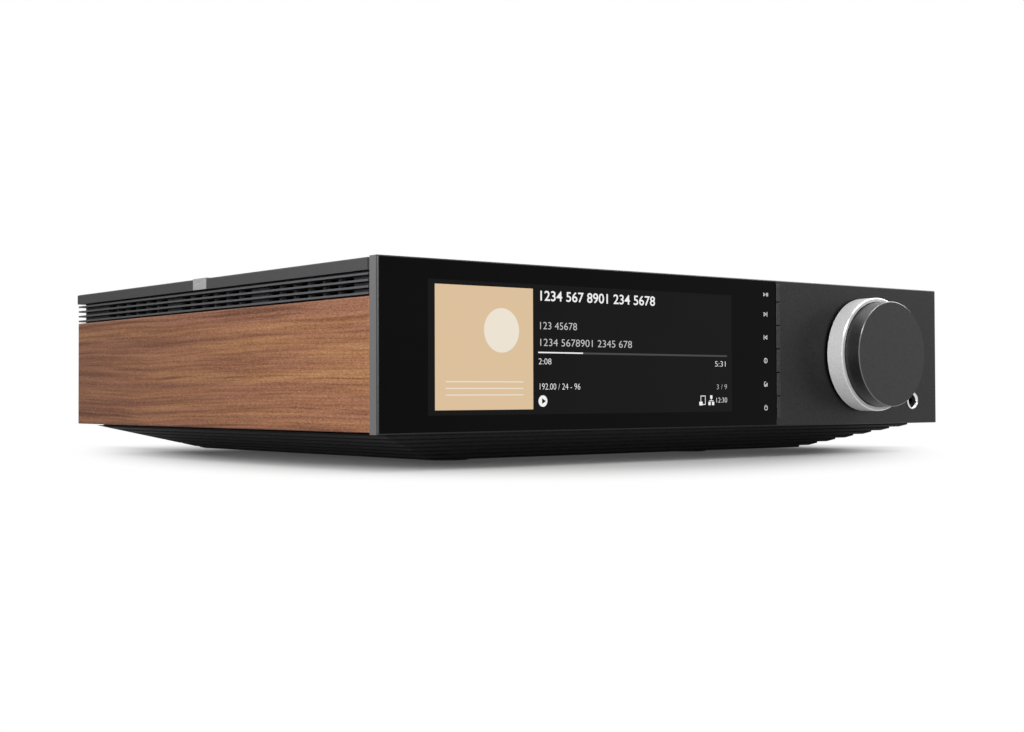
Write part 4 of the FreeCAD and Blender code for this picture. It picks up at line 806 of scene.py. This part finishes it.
def plain_level(tree):
    """White where it is seen or mirrored, and dimmer as a light on the part."""
    path = add(tree, "LightPath", {}).outputs
    seen = path["Is Camera Ray"]
    for ray in ("Is Glossy Ray", "Is Transmission Ray"):
        seen = add(tree, "Math", {0: seen, 1: path[ray]}, operation="MAXIMUM").outputs[0]
    return add(tree, "MapRange", {"Value": seen, "To Min": light_on_part, "To Max": 1.0}).outputs[0]


# Each lamp's place, the point that it faces, its width and height in metres, and its watts.
soft_box("lamp_above", (0.42, -0.6, 1.2), (0.1, -0.15, 0.05), 0.65, 0.16, 1.6)
soft_box("lamp_front", (-0.5, -0.85, 0.85), (0.1, -0.13, 0.05), 0.5, 0.32, 3.2)
soft_box("lamp_left", (-0.5, -0.32, 0.13), (-0.16, -0.05, 0.05), 0.45, 0.15, 2.0)
soft_box("lamp_right", (0.97, -0.13, 0.64), (0.08, -0.03, 0.0), 1.2, 0.8, 8.0)
soft_box("lamp_behind", (0.1, 0.6, 1.0), (0.1, -0.14, 0.04), 0.7, 0.5, 1.2)
soft_box("lamp_rear", (-0.35, 0.95, 0.55), (0.0, 0.1, 0.03), 0.9, 0.6, 4.0)

floor_reach = 30.0
bm = bmesh.new()
bmesh.ops.create_grid(bm, x_segments=1, y_segments=1, size=floor_reach)
mesh = bpy.data.meshes.new("floor")
bm.to_mesh(mesh)
bm.free()
floor = bpy.data.objects.new("floor", mesh)
bpy.context.scene.collection.objects.link(floor)

# Inside both a patch under the part and a turned oval round its shadow, the paper shows the lamps'
# shadow and its own grey, a painted shade. Past either it fades to white. Sizes are in metres, and
# the oval's reach is a share of its radii.
material = bpy.data.materials.new("white_paper_floor")
material.use_nodes = True
tree = material.node_tree
tree.nodes.remove(tree.nodes["Principled BSDF"])
place = add(tree, "TexCoord", {}).outputs["Object"]
patch_shift, patch_half, patch_reach = (0, 0.03, 0), (0.14, 0.147, 0), (0.07, 0.12, 1)
outside = add(tree, "VectorMath", {0: place, 1: patch_shift}, operation="ADD").outputs[0]
outside = add(tree, "VectorMath", {0: outside}, operation="ABSOLUTE").outputs[0]
outside = add(tree, "VectorMath", {0: outside, 1: patch_half}, operation="SUBTRACT").outputs[0]
outside = add(tree, "VectorMath", {0: outside, 1: (0, 0, 0)}, operation="MAXIMUM").outputs[0]
outside = add(tree, "VectorMath", {0: outside, 1: patch_reach}, operation="DIVIDE").outputs[0]
past_patch = add(tree, "VectorMath", {0: outside}, operation="LENGTH").outputs["Value"]
oval_middle, oval_radii, oval_reach = (0.145, 0.194, 0), (0.182, 0.388, 1), 1.31
oval_turn = (0, 0, math.radians(-35.7))
in_oval = {"Vector": place, "Location": oval_middle, "Scale": oval_radii, "Rotation": oval_turn}
turned_place = add(tree, "Mapping", in_oval, vector_type="TEXTURE").outputs[0]
along_oval = add(tree, "VectorMath", {0: turned_place}, operation="LENGTH").outputs["Value"]
past_oval = add(tree, "MapRange", {"Value": along_oval, "From Min": 1.0, "From Max": oval_reach})
away = add(tree, "Math", {0: past_patch, 1: past_oval.outputs[0]}, operation="MAXIMUM").outputs[0]
fade = add(tree, "MapRange", {"Value": away}, interpolation_type="SMOOTHSTEP").outputs[0]
white = (1, 1, 1, 1)
# The grey of the paper is painted shade round the part, and its faint glow is painted light that lifts the
# darkest shadow.
paper = add(tree, "BsdfDiffuse", {"Color": linear("#c6c6c6")}).outputs[0]
painted_fill_glow = add(tree, "Emission", {"Color": white, "Strength": 0.06}).outputs[0]
paper = add(tree, "AddShader", {0: paper, 1: painted_fill_glow}).outputs[0]
glow = add(tree, "Emission", {"Color": white, "Strength": plain_level(tree)}).outputs[0]
mix = add(tree, "MixShader", {0: fade, 1: paper, 2: glow}).outputs[0]
tree.links.new(mix, tree.nodes["Material Output"].inputs["Surface"])
mesh.materials.append(material)

world = bpy.data.worlds.new("white_studio")
bpy.context.scene.world = world
world.use_nodes = True
tree = world.node_tree
tree.links.new(plain_level(tree), tree.nodes["Background"].inputs["Strength"])
tree.nodes["Background"].inputs["Color"].default_value = white

# The camera's place, turn and lens were fitted to points of the photograph.
camera = bpy.data.objects.new("camera", bpy.data.cameras.new("camera"))
camera.data.lens = 53.22
camera.data.clip_start = 0.01
camera_place = Matrix.Translation((-0.447859, -0.56754, 0.027309))
yaw, pitch, roll = (math.radians(angle) for angle in (38.578, 1.081, -0.191))
camera_turn = (Matrix.Rotation(-yaw, 4, "Z") @ Matrix.Rotation(math.pi / 2 + pitch, 4, "X")
               @ Matrix.Rotation(roll, 4, "Z"))
camera.matrix_world = camera_place @ camera_turn
bpy.context.scene.collection.objects.link(camera)
bpy.context.scene.camera = camera
bpy.context.scene.view_settings.view_transform = "Standard"
